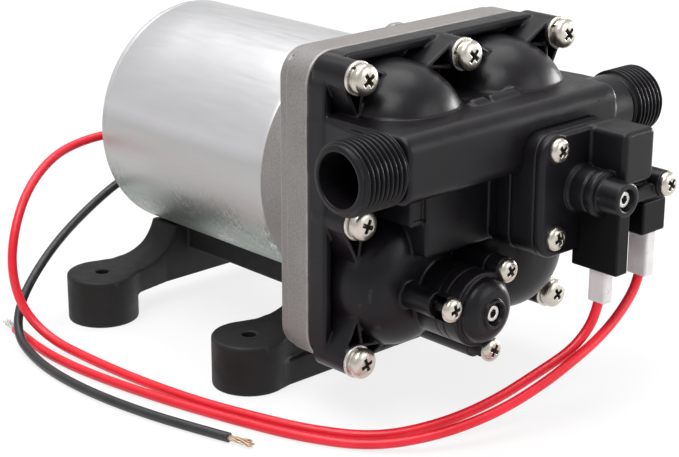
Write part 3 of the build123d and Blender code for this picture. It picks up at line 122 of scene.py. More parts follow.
class Shader(Tree):
    """A material's tree with one Principled shader."""

    def __init__(self, name):
        self.material = bpy.data.materials.new(name)
        super().__init__(self.material)
        self.output = self.node("ShaderNodeOutputMaterial")
        self.bsdf = self.node("ShaderNodeBsdfPrincipled")
        self.link(self.bsdf.outputs[0], self.output.inputs["Surface"])
        self.place = self.node("ShaderNodeTexCoord").outputs["Object"]

    def set(self, **values):
        for key, value in values.items():
            self.bsdf.inputs[key.replace("_", " ")].default_value = value

    def mapped(self, scale, turn=0.0, kind="POINT"):
        """The object's own coordinates, scaled, and turned about X."""
        mapping = self.node("ShaderNodeMapping", vector_type=kind)
        mapping.inputs["Rotation"].default_value = (turn, 0.0, 0.0)
        mapping.inputs["Scale"].default_value = scale
        self.link(self.place, mapping.inputs["Vector"])
        return mapping.outputs[0]

    def noise(self, scale, detail=4.0, roughness=0.55, distortion=0.0, where=None):
        where = where or self.place
        made = self.fed("ShaderNodeTexNoise", Scale=scale, Detail=detail, Roughness=roughness, Vector=where)
        made.inputs["Distortion"].default_value = distortion
        return made.outputs["Fac"]

    def cells(self, scale):
        made = self.node("ShaderNodeTexVoronoi", feature="F1")
        self.feed((made.inputs["Scale"], made.inputs["Vector"]), (scale, self.place))
        return made.outputs["Distance"]

    def spread(self, value, low, high, to_low=0.0, to_high=1.0):
        ends = {"From_Min": low, "From_Max": high, "To_Min": to_low, "To_Max": to_high}
        return self.fed("ShaderNodeMapRange", Value=value, **ends).outputs[0]

    def blend(self, share, first, second):
        made = self.node("ShaderNodeMix", data_type="RGBA", blend_type="MIX")
        self.feed((made.inputs[0], made.inputs[6], made.inputs[7]), (share, first, second))
        return made.outputs[2]

    def colour(self, value):
        self.link(value, self.bsdf.inputs["Base Color"])

    def gloss(self, value, low, high):
        """A roughness that runs from low to high with a noise."""
        self.link(self.spread(value, 0.3, 0.7, low, high), self.bsdf.inputs["Roughness"])

    def bump(self, height, distance, strength=1.0, below=None):
        made = self.fed("ShaderNodeBump", Strength=strength, Distance=distance, Height=height)
        if below is not None:
            self.link(below, made.inputs["Normal"])
        self.link(made.outputs[0], self.bsdf.inputs["Normal"])
        return made.outputs[0]

    def edge_wear_and_highlight(self, full_at, most):
        """How much an edge is lightened, as wear and as a painted highlight where edges catch light: up to
        most, where the surface bends as sharply as full_at.
        """
        bend = self.node("ShaderNodeNewGeometry").outputs["Pointiness"]
        return self.spread(bend, 0.515, full_at, 0.0, most)

    def height_above(self, low, high):
        """0 below the height low and 1 above the height high, in metres."""
        split = self.fed("ShaderNodeSeparateXYZ", Vector=self.place)
        return self.spread(split.outputs["Z"], low, high)


def plain(name, light, dark, scale, rough, grain, metallic=0.0):
    """Two close colours in soft patches, uneven gloss, and a fine grain in hundredths of a millimetre."""
    shader = Shader(name)
    shader.colour(shader.ramp(shader.noise(scale, detail=5.0), (0.3, dark), (0.7, light)))
    shader.gloss(shader.noise(scale * 9, detail=3.0), *rough)
    shader.bump(shader.noise(scale * 22, detail=2.0), grain * 1e-5)
    shader.set(Metallic=metallic)
    return shader.material


def moulded(name, light, dark, rough, grain, specular):
    """Moulded plastic: flow marks in the colour, uneven gloss, edges lightened as wear and as a painted
    highlight, and a fine grain as above.
    """
    shader = Shader(name)
    flow = shader.noise(30, detail=3.0, distortion=0.8)
    base = shader.ramp(flow, (0.32, dark), (0.72, light))
    # Sharp edges lightened: partly wear, partly a painted highlight where edges catch light
    wear_and_highlight_colour = tuple(value * 2.6 + 0.012 for value in light)
    shader.colour(shader.blend(shader.edge_wear_and_highlight(0.60, 0.55), base, wear_and_highlight_colour))
    shader.gloss(shader.noise(240, detail=4.0), *rough)
    fine = shader.bump(shader.noise(2600, detail=2.0), grain * 1e-5, 0.6)
    shader.bump(flow, grain * 4e-5, 0.25, fine)
    shader.set(Specular_IOR_Level=specular)
    return shader.material


def cast_metal(name):
    """Raw die-cast aluminium: warm grey with fine sparkle, pits, darker handling marks, and edges lightened
    as wear and as a painted highlight.
    """
    shader = Shader(name)
    stain = shader.ramp(
        shader.noise(45, detail=6.0), (0.3, (0.185, 0.175, 0.165)), (0.7, (0.265, 0.25, 0.24))
    )
    speck = shader.noise(2300, detail=3.0, roughness=0.7)
    sparkle = shader.ramp(
        speck, (0.33, (0.14, 0.13, 0.125)), (0.5, (0.24, 0.23, 0.22)), (0.70, (0.42, 0.41, 0.40))
    )
    pits = shader.spread(shader.cells(420), 0.05, 0.12, 0.75, 0.0)
    pits = shader.maths("MULTIPLY", pits, shader.spread(shader.noise(90), 0.55, 0.65))
    base = shader.blend(pits, shader.blend(0.5, stain, sparkle), (0.12, 0.11, 0.10))
    # Sharp edges lightened: partly wear, partly a painted highlight where edges catch light
    shader.colour(shader.blend(shader.edge_wear_and_highlight(0.58, 0.7), base, (0.62, 0.61, 0.60)))
    shader.gloss(speck, 0.42, 0.66)
    fine = shader.bump(speck, 0.00006, 0.8)
    shader.bump(shader.noise(170, detail=4.0), 0.00016, 0.5, fine)
    shader.set(Metallic=0.55, Specular_IOR_Level=0.4)
    return shader.material


def zinc_can(name):
    """Zinc-plated drawn steel: painted reflection bands by height, pale above and greyer at mid-height,
    darker greenish grey at the bottom (partly the plating's own tint), and a greenish crossed mottle low
    down.
    """
    shader = Shader(name)
    height = shader.height_above(0.0245, 0.1005)
    wander = shader.spread(shader.noise(16, detail=3.0), 0.0, 1.0, -0.025, 0.025)
    # Painted reflection: lighter above and a greyer band at mid-height, set by height; the greenish grey at
    # the bottom is partly the plating's own tint
    painted_reflection_bands = shader.ramp(
        shader.maths("ADD", height, wander),
        (0.0, (0.21, 0.245, 0.22)), (0.24, (0.275, 0.305, 0.28)), (0.31, (0.37, 0.38, 0.365)),
        (0.36, (0.45, 0.455, 0.445)), (0.56, (0.465, 0.465, 0.465)), (0.62, (0.67, 0.66, 0.685)),
        (0.85, (0.64, 0.64, 0.65)), (1.0, (0.56, 0.56, 0.57)),
    )
    stroke_size = (1 / 500, 1 / 1500, 1 / 330)
    ways = [shader.mapped(stroke_size, turn, "TEXTURE") for turn in (0.62, -0.55)]
    crossed = shader.maths("MAXIMUM", *[shader.noise(1.0, detail=2.0, where=way) for way in ways])
    streaks = shader.ramp(
        crossed, (0.46, (0.15, 0.18, 0.155)), (0.58, (0.36, 0.39, 0.36)), (0.72, (0.60, 0.62, 0.58))
    )
    patch = shader.spread(shader.noise(42, detail=3.0), 0.40, 0.58)
    low = shader.maths("MULTIPLY", shader.spread(height, 0.24, 0.40, 0.85, 0.0), patch)
    shader.colour(shader.blend(low, painted_reflection_bands, streaks))
    fine = shader.noise(900, detail=3.0, where=shader.mapped((1.0, 0.08, 1.0)))
    shader.gloss(fine, 0.36, 0.46)
    drawn = shader.bump(fine, 0.000012, 0.4)
    shader.bump(crossed, 0.00003, 0.2, drawn)
    shader.set(Metallic=0.9)
    return shader.material


def insulation(name, light, dark, coat):
    """Glossy PVC insulation with slight unevenness along the lead."""
    shader = Shader(name)
    shader.colour(shader.ramp(shader.noise(70, detail=2.0), (0.35, dark), (0.65, light)))
    shader.gloss(shader.noise(500, detail=2.0), 0.30, 0.42)
    shader.bump(shader.noise(700, detail=2.0), 0.00005, 0.5)
    shader.set(Specular_IOR_Level=0.4, Coat_Weight=coat, Coat_Roughness=0.2)
    return shader.material


def milky_sleeve(name):
    """Milky vinyl that lets a little of what is inside it show through."""
    shader = Shader(name)
    milk = shader.noise(150, detail=3.0)
    shader.colour(shader.ramp(milk, (0.3, (0.66, 0.61, 0.62)), (0.7, (0.76, 0.73, 0.74))))
    shader.gloss(shader.noise(600, detail=2.0), 0.26, 0.38)
    shader.bump(shader.noise(420, detail=2.0), 0.00002, 0.4)
    shader.set(Transmission_Weight=0.08, IOR=1.3)
    return shader.material


look = {
    "cast": cast_metal("cast_aluminium"),
    "can": zinc_can("zinc_plated_steel"),
    "red": insulation("red_insulation", (0.78, 0.014, 0.034), (0.68, 0.008, 0.022), 0.1),
    "black": insulation("black_insulation", (0.022, 0.022, 0.024), (0.012, 0.012, 0.014), 0.15),
    "sleeve": milky_sleeve("clear_vinyl"),
}
# Moulded finishes: name, light and dark colour, roughness, grain and specular level
for finish, *row in (
    ("head", "moulded_black", (0.0078, 0.0064, 0.0086), (0.0052, 0.0044, 0.0058), (0.27, 0.38), 4, 0.22),
    ("switch", "switch_black", (0.0074, 0.0064, 0.0082), (0.0048, 0.0042, 0.0054), (0.29, 0.40), 4, 0.22),
    ("snap", "snap_switch_black", (0.0052, 0.0048, 0.0056), (0.0034, 0.0032, 0.0038), (0.38, 0.5), 4, 0.12),
    ("rubber", "rubber_black", (0.0130, 0.0124, 0.0128), (0.0080, 0.0077, 0.0080), (0.5, 0.66), 8, 0.25),
):
    look[finish] = moulded(*row)
# Plain finishes: name, light and dark colour, scale of the patches, roughness, grain and how metallic
for finish, *row in (
    # recess_shade is painted shade for the insides of the screw recesses and sockets
    ("recess", "recess_shade", (0.10, 0.085, 0.07), (0.04, 0.033, 0.027), 700, (0.5, 0.7), 2, 0.3),
    ("nickel", "nickel_plate", (0.64, 0.60, 0.54), (0.54, 0.495, 0.43), 180, (0.27, 0.33), 0.4, 1.0),
    ("washer", "zinc_washer", (0.74, 0.71, 0.66), (0.54, 0.51, 0.47), 320, (0.22, 0.34), 1, 1.0),
    ("grub", "bright_steel", (0.84, 0.83, 0.80), (0.62, 0.61, 0.60), 380, (0.22, 0.34), 3, 1.0),
    ("steel", "ground_steel", (0.66, 0.66, 0.66), (0.48, 0.48, 0.49), 120, (0.22, 0.36), 2, 1.0),
    ("lamination", "core_steel", (0.36, 0.37, 0.39), (0.22, 0.23, 0.25), 160, (0.4, 0.55), 5, 1.0),
    ("spring", "spring_steel", (0.74, 0.74, 0.72), (0.52, 0.52, 0.52), 400, (0.2, 0.34), 2, 1.0),
    ("copper", "enamelled_copper", (0.72, 0.30, 0.13), (0.50, 0.18, 0.07), 260, (0.28, 0.42), 5, 0.9),
    ("bars", "commutator_copper", (0.80, 0.42, 0.26), (0.58, 0.28, 0.16), 300, (0.26, 0.4), 3, 1.0),
    ("carbon", "carbon", (0.07, 0.07, 0.075), (0.03, 0.03, 0.032), 300, (0.5, 0.7), 8),
    ("magnet", "ferrite", (0.10, 0.10, 0.11), (0.05, 0.05, 0.055), 90, (0.5, 0.7), 8),
    ("phenolic", "phenolic_board", (0.26, 0.13, 0.06), (0.17, 0.08, 0.035), 120, (0.4, 0.6), 6),
    ("acetal", "white_acetal", (0.84, 0.82, 0.77), (0.74, 0.72, 0.66), 60, (0.34, 0.48), 4),
    ("nylon", "glass_filled_nylon", (0.10, 0.10, 0.105), (0.06, 0.06, 0.064), 110, (0.4, 0.56), 8),
    ("membrane", "moulded_membrane", (0.045, 0.045, 0.048), (0.025, 0.025, 0.027), 80, (0.55, 0.72), 8),
    ("tin", "tinned_brass", (0.82, 0.80, 0.74), (0.62, 0.60, 0.55), 420, (0.24, 0.36), 4, 1.0),
    ("tinned", "tinned_strands", (0.85, 0.84, 0.82), (0.55, 0.54, 0.53), 700, (0.24, 0.36), 4, 1.0),
    ("strand", "bare_copper", (0.78, 0.60, 0.44), (0.52, 0.38, 0.26), 700, (0.26, 0.4), 4, 1.0),
):
    look[finish] = plain(*row)

worn_by = {
    "head": "pump_head bypass_cap", "switch": "switch_plate switch_cover", "snap": "microswitch",
    "rubber": "mounting_base", "cast": "drive_housing", "can": "motor_can motor_end_bell",
    "red": "red_jumper_lead red_supply_lead", "black": "black_supply_lead", "sleeve": "spade_sleeves",
    "tinned": "supply_lead_strands", "strand": "black_lead_strands", "tin": "spade_tabs spade_receptacles",
    "nickel": "head_screws bypass_screws switch_screws", "washer": "base_screws flat_washers lock_washers",
    "grub": "bypass_adjusting_screw switch_adjusting_screw",
    "steel": "rear_bearing front_bearing cam_bearing_inner_ring cam_bearing_outer_ring motor_shaft "
             "eccentric_cam piston_screws switch_spring_seat",
    "spring": "brush_springs check_valve_spring bypass_spring switch_spring",
    "membrane": "lead_grommets diaphragm flap_valves bypass_poppet switch_diaphragm",
    "acetal": "piston_caps valve_plate check_valve_poppet check_valve_guide bypass_spring_seat switch_piston",
    "lamination": "armature_core", "copper": "armature_windings", "bars": "commutator",
    "magnet": "field_magnets", "phenolic": "brush_holder", "carbon": "carbon_brushes",
    "nylon": "wobble_plate",
}
for finish, names in worn_by.items():
    for name in names.split():
        nodes[name].data.materials.clear()
        nodes[name].data.materials.append(look[finish])


def stands_for(piece, node):
    """The piece hides this CAD node and stands in for it."""
    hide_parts(node)
    return piece


# Leads

jumper_route = [
    (-13.5, 45.35, 54.5), (-13.5, 54.0, 54.5), (-20.5, 60.0, 55.0), (-34.0, 60.4, 54.6),
    (-49.0, 56.0, 53.2), (-63.5, 49.4, 47.0), (-73.4, 43.4, 37.0), (-77.9, 40.0, 24.6),
    (-76.6, 36.8, 11.5), (-73.6, 26.0, 3.4), (-71.6, 6.0, 1.7), (-70.2, -17.0, 1.6),
    (-66.9, -41.0, 1.6), (-61.5, -61.0, 1.6), (-55.6, -79.0, 1.6), (-45.5, -95.5, 1.8),
    (-31.0, -106.0, 4.8), (-15.0, -112.0, 9.0), (0.4, -117.0, 16.0), (8.4, -120.3, 20.5),
    (14.1, -121.5, 25.1), (17.5, -122.2, 30.5), (18.8, -122.45, 36.0),
]
supply_route = [
    (-75.0, 43.6, 2.0), (-78.2, 28.0, 1.7), (-79.0, 8.0, 1.6), (-76.8, -14.0, 1.6),
    (-72.6, -37.0, 1.6), (-67.2, -59.0, 1.6), (-61.0, -80.0, 1.6), (-51.0, -98.5, 1.8),
    (-37.5, -111.0, 5.0), (-21.0, -118.4, 9.2), (-5.0, -122.2, 14.7), (8.5, -124.2, 20.6),
    (17.2, -123.8, 23.3), (24.6, -123.4, 26.6), (31.5, -122.9, 31.1), (35.9, -122.5, 35.6),
    (37.25, -122.45, 40.1),
]
black_route = [
    (-13.5, 45.35, 42.5), (-13.5, 53.0, 42.5), (-19.0, 60.5, 37.0), (-31.0, 61.0, 30.6),
    (-48.0, 54.6, 25.2), (-63.0, 47.6, 18.8), (-74.4, 41.6, 11.2), (-80.6, 34.2, 4.4),
    (-83.8, 21.0, 1.8), (-86.4, 4.0, 1.6), (-86.4, -16.0, 1.6), (-83.6, -37.0, 1.6),
    (-79.6, -54.0, 1.6), (-76.2, -66.4, 1.6),
]
lead_diameter = 0.003


def metres(place):
    return tuple(value * MM for value in place)


def lead(name, points, finish):
    """A lead as one smooth NURBS curve along its route."""
    curve = bpy.data.curves.new(name, "CURVE")
    curve.dimensions = "3D"
    curve.bevel_depth = lead_diameter / 2
    curve.bevel_resolution = 6
    curve.resolution_u = 12
    curve.use_fill_caps = True
    spline = curve.splines.new("NURBS")
    spline.points.add(len(points) - 1)
    for point, place in zip(spline.points, points):
        point.co = (*metres(place), 1.0)
    spline.order_u = 3
    spline.use_endpoint_u = True
    made = bpy.data.objects.new(name, curve)
    bpy.context.scene.collection.objects.link(made)
    curve.materials.append(look[finish])
    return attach(made, "root")


jumper = lead("jumper_lead", jumper_route, "red")
supply = lead("supply_lead", supply_route, "red")
return_lead = lead("return_lead", black_route, "black")
stands_for(jumper, "red_jumper_lead")
stands_for(supply, "red_supply_lead")
stands_for(return_lead, "black_supply_lead")

# Solids as distance fields, in millimetres


def length2(first, second):
    return np.sqrt(first * first + second * second)


def rounded(first, second, edge):
    """Two distances that meet square, joined with the edge between them rounded."""
    within = np.minimum(np.maximum(first, second), 0)
    return length2(np.maximum(first, 0), np.maximum(second, 0)) + within - edge


def disc(u, v, radius):
    """A round profile: its distance, and the box that holds it."""
    return (lambda a, b: length2(a - u, b - v) - radius), (u - radius, v - radius, u + radius, v + radius)


def panel(left, right, low, high, corner):
    """A rectangle with round corners."""
    u, v, half_u, half_v = (left + right) / 2, (low + high) / 2, (right - left) / 2, (high - low) / 2

    def distance(a, b):
        return rounded(abs(a - u) - half_u + corner, abs(b - v) - half_v + corner, corner)

    return distance, (left, low, right, high)


def polygon(*corners):
    ends = corners[1:] + corners[:1]

    def distance(a, b):
        a, b = np.broadcast_arrays(a, b)
        best = np.full(a.shape, 1e6, np.float32)
        inside = np.zeros(a.shape, bool)
        for (a1, b1), (a2, b2) in zip(corners, ends):
            run_a, run_b, off_a, off_b = a2 - a1, b2 - b1, a - a1, b - b1
            share = np.clip((off_a * run_a + off_b * run_b) / (run_a * run_a + run_b * run_b), 0, 1)
            best = np.minimum(best, (off_a - run_a * share) ** 2 + (off_b - run_b * share) ** 2)
            if run_b:
                inside ^= ((b1 <= b) != (b2 <= b)) & (a < a1 + (b - b1) * run_a / run_b)
        return np.where(inside, -1, 1) * np.sqrt(best)

    us, vs = [c[0] for c in corners], [c[1] for c in corners]
    return distance, (min(us), min(vs), max(us), max(vs))


def swept(axis, profile, start, end, edge=0.3):
    """A profile carried along X, Y or Z from start to end, with its end edges rounded."""
    distance, (u1, v1, u2, v2) = profile
    start, end = sorted((start, end))
    rest = [n for n in range(3) if n != axis]

    def solid(*places):
        flat = distance(places[rest[0]], places[rest[1]]) + edge
        ends = abs(places[axis] - (start + end) / 2) - (end - start) / 2 + edge
        return rounded(flat, ends, edge)

    low, high = [0.0] * 3, [0.0] * 3
    low[axis], high[axis] = start, end
    low[rest[0]], low[rest[1]], high[rest[0]], high[rest[1]] = u1, v1, u2, v2
    return solid, low, high


def rod(u, v, radius, start, end, edge=0.3, axis=1):
    """A round rod or bore, most often along Y."""
    return swept(axis, disc(u, v, radius), start, end, edge)


def turned(x, z, points):
    """A profile of (along, radius) points turned about the line along Y through (x, z)."""
    distance, (rear, _, front, reach) = polygon(*points)

    def solid(a, b, c):
        return distance(b, length2(a - x, c - z))

    return solid, [x - reach, rear, z - reach], [x + reach, front, z + reach]


class Field:
    """A solid kept as a distance on a grid, joined and cut with small fillets, then skinned."""

    def __init__(self, low, high, step):
        self.step = step
        self.axes = [np.arange(a, b + step, step, dtype=np.float32) for a, b in zip(low, high)]
        self.value = np.full([len(axis) for axis in self.axes], 40.0, np.float32)

    def part_of(self, shape, blend):
        solid, low, high = shape
        margin = blend + 3 * self.step
        starts = [max(0, int(np.searchsorted(axis, a - margin)) - 1) for axis, a in zip(self.axes, low)]
        ends = [int(np.searchsorted(axis, b + margin)) + 1 for axis, b in zip(self.axes, high)]
        cuts = tuple(slice(start, end) for start, end in zip(starts, ends))
        x, y, z = (axis[cut] for axis, cut in zip(self.axes, cuts))
        return cuts, solid(x[:, None, None], y[None, :, None], z[None, None, :])

    def add(self, *shapes, blend=0.5):
        for shape in shapes:
            cuts, new = self.part_of(shape, blend)
            old = self.value[cuts]
            soft = np.maximum(blend - abs(old - new), 0)
            self.value[cuts] = np.minimum(old, new) - soft * soft / (4 * blend)

    def cut(self, *shapes, blend=0.3):
        for shape in shapes:
            cuts, new = self.part_of(shape, blend)
            old, new = self.value[cuts], -new
            soft = np.maximum(blend - abs(old - new), 0)
            self.value[cuts] = np.maximum(old, new) + soft * soft / (4 * blend)

    def bore(self, places, radius, start, end):
        """The same screw hole at each of these places."""
        for place in places:
            self.cut(rod(*place, radius, start, end, 0.05), blend=0.2)

    def sample(self, points):
        """The distance at these places, given in grid steps."""
        base = np.clip(np.floor(points).astype(int), 0, np.array(self.value.shape) - 2)
        part = points - base
        total = np.zeros(len(points))
        for i in (0, 1):
            for j in (0, 1):
                for k in (0, 1):
                    share = abs(1 - i - part[:, 0]) * abs(1 - j - part[:, 1]) * abs(1 - k - part[:, 2])
                    total += share * self.value[base[:, 0] + i, base[:, 1] + j, base[:, 2] + k]
        return total

    def skin(self, rounds=3):
        """Points in millimetres and quads of the zero surface, evened out and drawn back onto it."""
        value = self.value
        inside = value < 0
        shape = np.array(value.shape) - 1
        corners = [(i, j, k) for i in (0, 1) for j in (0, 1) for k in (0, 1)]
        count = sum(
            inside[tuple(slice(n, size + n) for n, size in zip(corner, shape))].astype(np.int8)
            for corner in corners
        )
        cells = np.argwhere((count > 0) & (count < 8))
        index = np.full(shape, -1, np.int64)
        index[tuple(cells.T)] = np.arange(len(cells))
        total, hits = np.zeros((len(cells), 3)), np.zeros(len(cells))
        for a in corners:
            for axis in range(3):
                if a[axis]:
                    continue
                b = list(a)
                b[axis] = 1
                first, last = value[tuple((cells + a).T)], value[tuple((cells + b).T)]
                crossed = (first < 0) != (last < 0)
                share = np.where(crossed, first / np.where(crossed, first - last, 1), 0)
                place = np.tile(np.array(a, float), (len(cells), 1))
                place[:, axis] += share
                total += place * crossed[:, None]
                hits += crossed
        points = cells + total / hits[:, None]
        quads = []
        for axis in range(3):
            u, v = [n for n in range(3) if n != axis]
            near, far = [slice(1, s) for s in shape], [slice(1, s) for s in shape]
            near[axis], far[axis] = slice(0, shape[axis]), slice(1, shape[axis] + 1)
            first, last = inside[tuple(near)], inside[tuple(far)]
            at = np.argwhere(first != last)
            leaving = first[tuple(at.T)]
            at = at + 1
            at[:, axis] -= 1
            step_u, step_v = np.eye(3, dtype=int)[u], np.eye(3, dtype=int)[v]
            ring = [index[tuple((at - move).T)] for move in (0 * step_u, step_u, step_u + step_v, step_v)]
            quad = np.stack(ring, 1)
            turn = leaving if axis != 1 else ~leaving
            quad[~turn] = quad[~turn][:, ::-1]
            quads.append(quad)
        quads = np.concatenate(quads)
        for _ in range(rounds):
            mean, number = np.zeros_like(points), np.zeros(len(points))
            for a in range(4):
                ends = quads[:, a], quads[:, (a + 1) % 4]
                np.add.at(mean, ends[0], points[ends[1]])
                np.add.at(number, ends[0], 1)
            points = 0.4 * points + 0.6 * mean / np.maximum(number, 1)[:, None]
            for _ in range(2):
                here = self.sample(points)
                ways = np.eye(3) * 0.5
                slope = np.stack([self.sample(points + way) - self.sample(points - way) for way in ways], 1)
                size = np.maximum((slope * slope).sum(1), self.step * self.step * 0.25)
                move = here[:, None] * slope / size[:, None]
                points -= np.clip(move, -0.4, 0.4)
        origin = np.array([axis[0] for axis in self.axes])
        return points * self.step + origin, quads


def add_mesh(name, points, faces, finish, body="root", smooth=True):
    """A mesh object from points in millimetres."""
    mesh = bpy.data.meshes.new(name)
    mesh.from_pydata((np.asarray(points, float) * MM).tolist(), [], [list(map(int, face)) for face in faces])
    mesh.validate()
    made = bpy.data.objects.new(name, mesh)
    bpy.context.scene.collection.objects.link(made)
    mesh.materials.append(look[finish])
    if smooth:
        mesh.shade_smooth()
    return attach(made, body)


def moulding(name, field, finish, keep):
    """A field skinned, thinned where it is flat, and dressed."""
    made = add_mesh(name, *field.skin(), finish)
    modifier = made.modifiers.new("thin", "DECIMATE")
    modifier.ratio = keep
    graph = bpy.context.evaluated_depsgraph_get()
    mesh = bpy.data.meshes.new_from_object(made.evaluated_get(graph), depsgraph=graph)
    made.modifiers.clear()
    made.data = mesh
    mesh.shade_smooth()
    return made


def rings(profile, u, v, axis=1, sides=96, lift=None):
    """A turned shape from (along, radius) points; lift(angle, along, radius) may move a ring's points."""
    rest = [n for n in range(3) if n != axis]
    points, faces = [], []
    for along, radius in profile:
        for side in range(sides):
            angle = 2 * pi * side / sides
            here, reach = lift(angle, along, radius) if lift else (along, radius)
            place = [0.0] * 3
            place[axis] = here
            place[rest[0]], place[rest[1]] = u + reach * cos(angle), v + reach * sin(angle)
            points.append(place)
    for row in range(len(profile)):
        here, after = row * sides, (row + 1) % len(profile) * sides
        for side in range(sides):
            beside = (side + 1) % sides
            faces.append((here + side, here + beside, after + beside, after + side))
    return points, faces


def tube(sections):
    """A tube through sections of equally many points, closed at both ends."""
    span, last = len(sections[0]), len(sections) - 1
    faces = []
    for row in range(last):
        for n in range(span):
            a, b = row * span + n, row * span + (n + 1) % span
            faces.append((a, b, b + span, a + span))
    ends = [list(range(span))[::-1], [last * span + n for n in range(span)]]
    return [point for section in sections for point in section], faces + ends


def joined(parts):
    """Several (points, faces) pairs as one."""
    points, faces = [], []
    for part_points, part_faces in parts:
        faces += [[corner + len(points) for corner in face] for face in part_faces]
        points += list(part_points)
    return points, faces


# Where the part's forms lie, in millimetres

face, motor_z, half_head = -67.25, 62.5, 46.6
floor_y, rim_y, web_y, boss_y = -70.45, -74.65, -81.75, -82.75
screw_spread, dome_spread, port_y, port_z = 41.9, 22.0, -98.15, 83.0
screw_places = [
    (column * screw_spread, motor_z + row * screw_spread)
    for column in (-1, 0, 1)
    for row in (-1, 0, 1)
    if (column, row) != (0, 0)
]
port_start = {-1: 46.4, 1: 50.2}
dome_places = [(column * dome_spread, motor_z + row * dome_spread) for column in (-1, 1) for row in (-1, 1)]
bypass_x, bypass_z, bypass_y, bypass_front, nose_y = -13.8, 35.5, -100.75, -105.75, -111.35
bypass_screws = [
    (bypass_x + 13.7 * cos(radians(45 + 120 * turn)), bypass_z + 13.7 * sin(radians(45 + 120 * turn)))
    for turn in range(3)
]
switch_left, switch_right, switch_low, switch_high = -0.6, 33.8, 49.0, 85.6
switch_seat, switch_joint, switch_front = -103.45, -112.45, -115.25
switch_screws = [(5.5, 81.3), (5.5, 55.1)]
barrel_x, barrel_z, barrel_front = 16.5, 68.0, -132.45
pillar_x, pillar_z, pillar_front = 39.6, 67.2, -128.15
can_rear, can_front, can_radius, can_wall = 42.95, -37.45, 38.1, 2.0
bell_rear, bell_front = 41.75, 38.75
plate_rear, step_front = -54.95, -58.35
foot_x, foot_y = 43.85, 37.75
lead_x, lead_heights = -13.5, (54.5, 42.5)
spade_y = -122.45
head_corner, rim_width, boss_radius, web_reach, web_inset = 9.5, 2.8, 4.7, 14.5, 2.2
port_bore, port_root, port_crest, port_pitch, port_nose, outlet_bore = 7.7, 9.5, 10.6, 1.7, 63.55, 4.5
bypass_radius, lobe_radius, poppet_bore = 11.2, 3.9, 6.4
head_bore, housing_bore, small_bore, grub_bore, bearing_bore, drive_bore = 2.35, 1.8, 1.55, 2.98, 8.0, 34.8
switch_outline = panel(switch_left, switch_right, switch_low, switch_high, 6.0)

# Pump head


def dome_profile(front, power):
    """A full round dome from its foot in the floor to its crown at front."""
    foot, base, steps = 20.8, -72.0, 28
    points = [(floor_y + 1.0, 0.0), (floor_y + 1.0, foot + 0.7), (floor_y - 0.5, foot + 0.5)]
    for step in range(steps + 1):
        along = 1 - (1 - step / steps) ** 1.6
        points.append((base + (front - base) * along, foot * (1 - along**power) ** (1 / power)))
    return points


def web_triangles():
    """The V-shaped webs of the screw bosses, each as its place and its tip."""
    for x, z in screw_places:
        in_x = -web_inset * ((x > 0) - (x < 0))
        in_z = -web_inset * ((z > motor_z) - (z < motor_z))
        for way in (-1, 1):
            if in_z and way * x <= 0:
                yield (x, z), (way * web_reach, in_z)
            if in_x and way * (z - motor_z) <= 0:
                yield (x, z), (in_x, way * web_reach)


def web_walls(place, tip):
    """The two thin walls of a web, as polygons from the boss to the tip."""
    radius, wall = boss_radius, 1.2
    heading, reach = np.arctan2(tip[1], tip[0]), np.hypot(*tip)
    spread = pi / 2 - np.arcsin(radius / reach)
    for turn in (spread, -spread):
        side = np.array((radius * cos(heading + turn), radius * sin(heading + turn)))
        end = np.array(tip)
        run = (end - side) / np.linalg.norm(end - side)
        across = np.array((-run[1], run[0])) * (-1 if turn > 0 else 1) * wall
        corners = [side, end, end + across * 0.9, side + across]
        yield polygon(*[(place[0] + c[0], place[1] + c[1]) for c in corners])


def bypass_lobes(rear, front, edge=0.3):
    """The three screw lobes of the bypass valve, each with its web to the middle."""
    for x, z in bypass_screws:
        way = np.array((x - bypass_x, z - bypass_z))
        across = np.array((-way[1], way[0])) / np.linalg.norm(way) * 1.9
        yield swept(1, polygon(
            (bypass_x + across[0], bypass_z + across[1]), (x + across[0], z + across[1]),
            (x - across[0], z - across[1]), (bypass_x - across[0], bypass_z - across[1]),
        ), rear, front, edge)
        yield rod(x, z, lobe_radius, rear, front, edge)


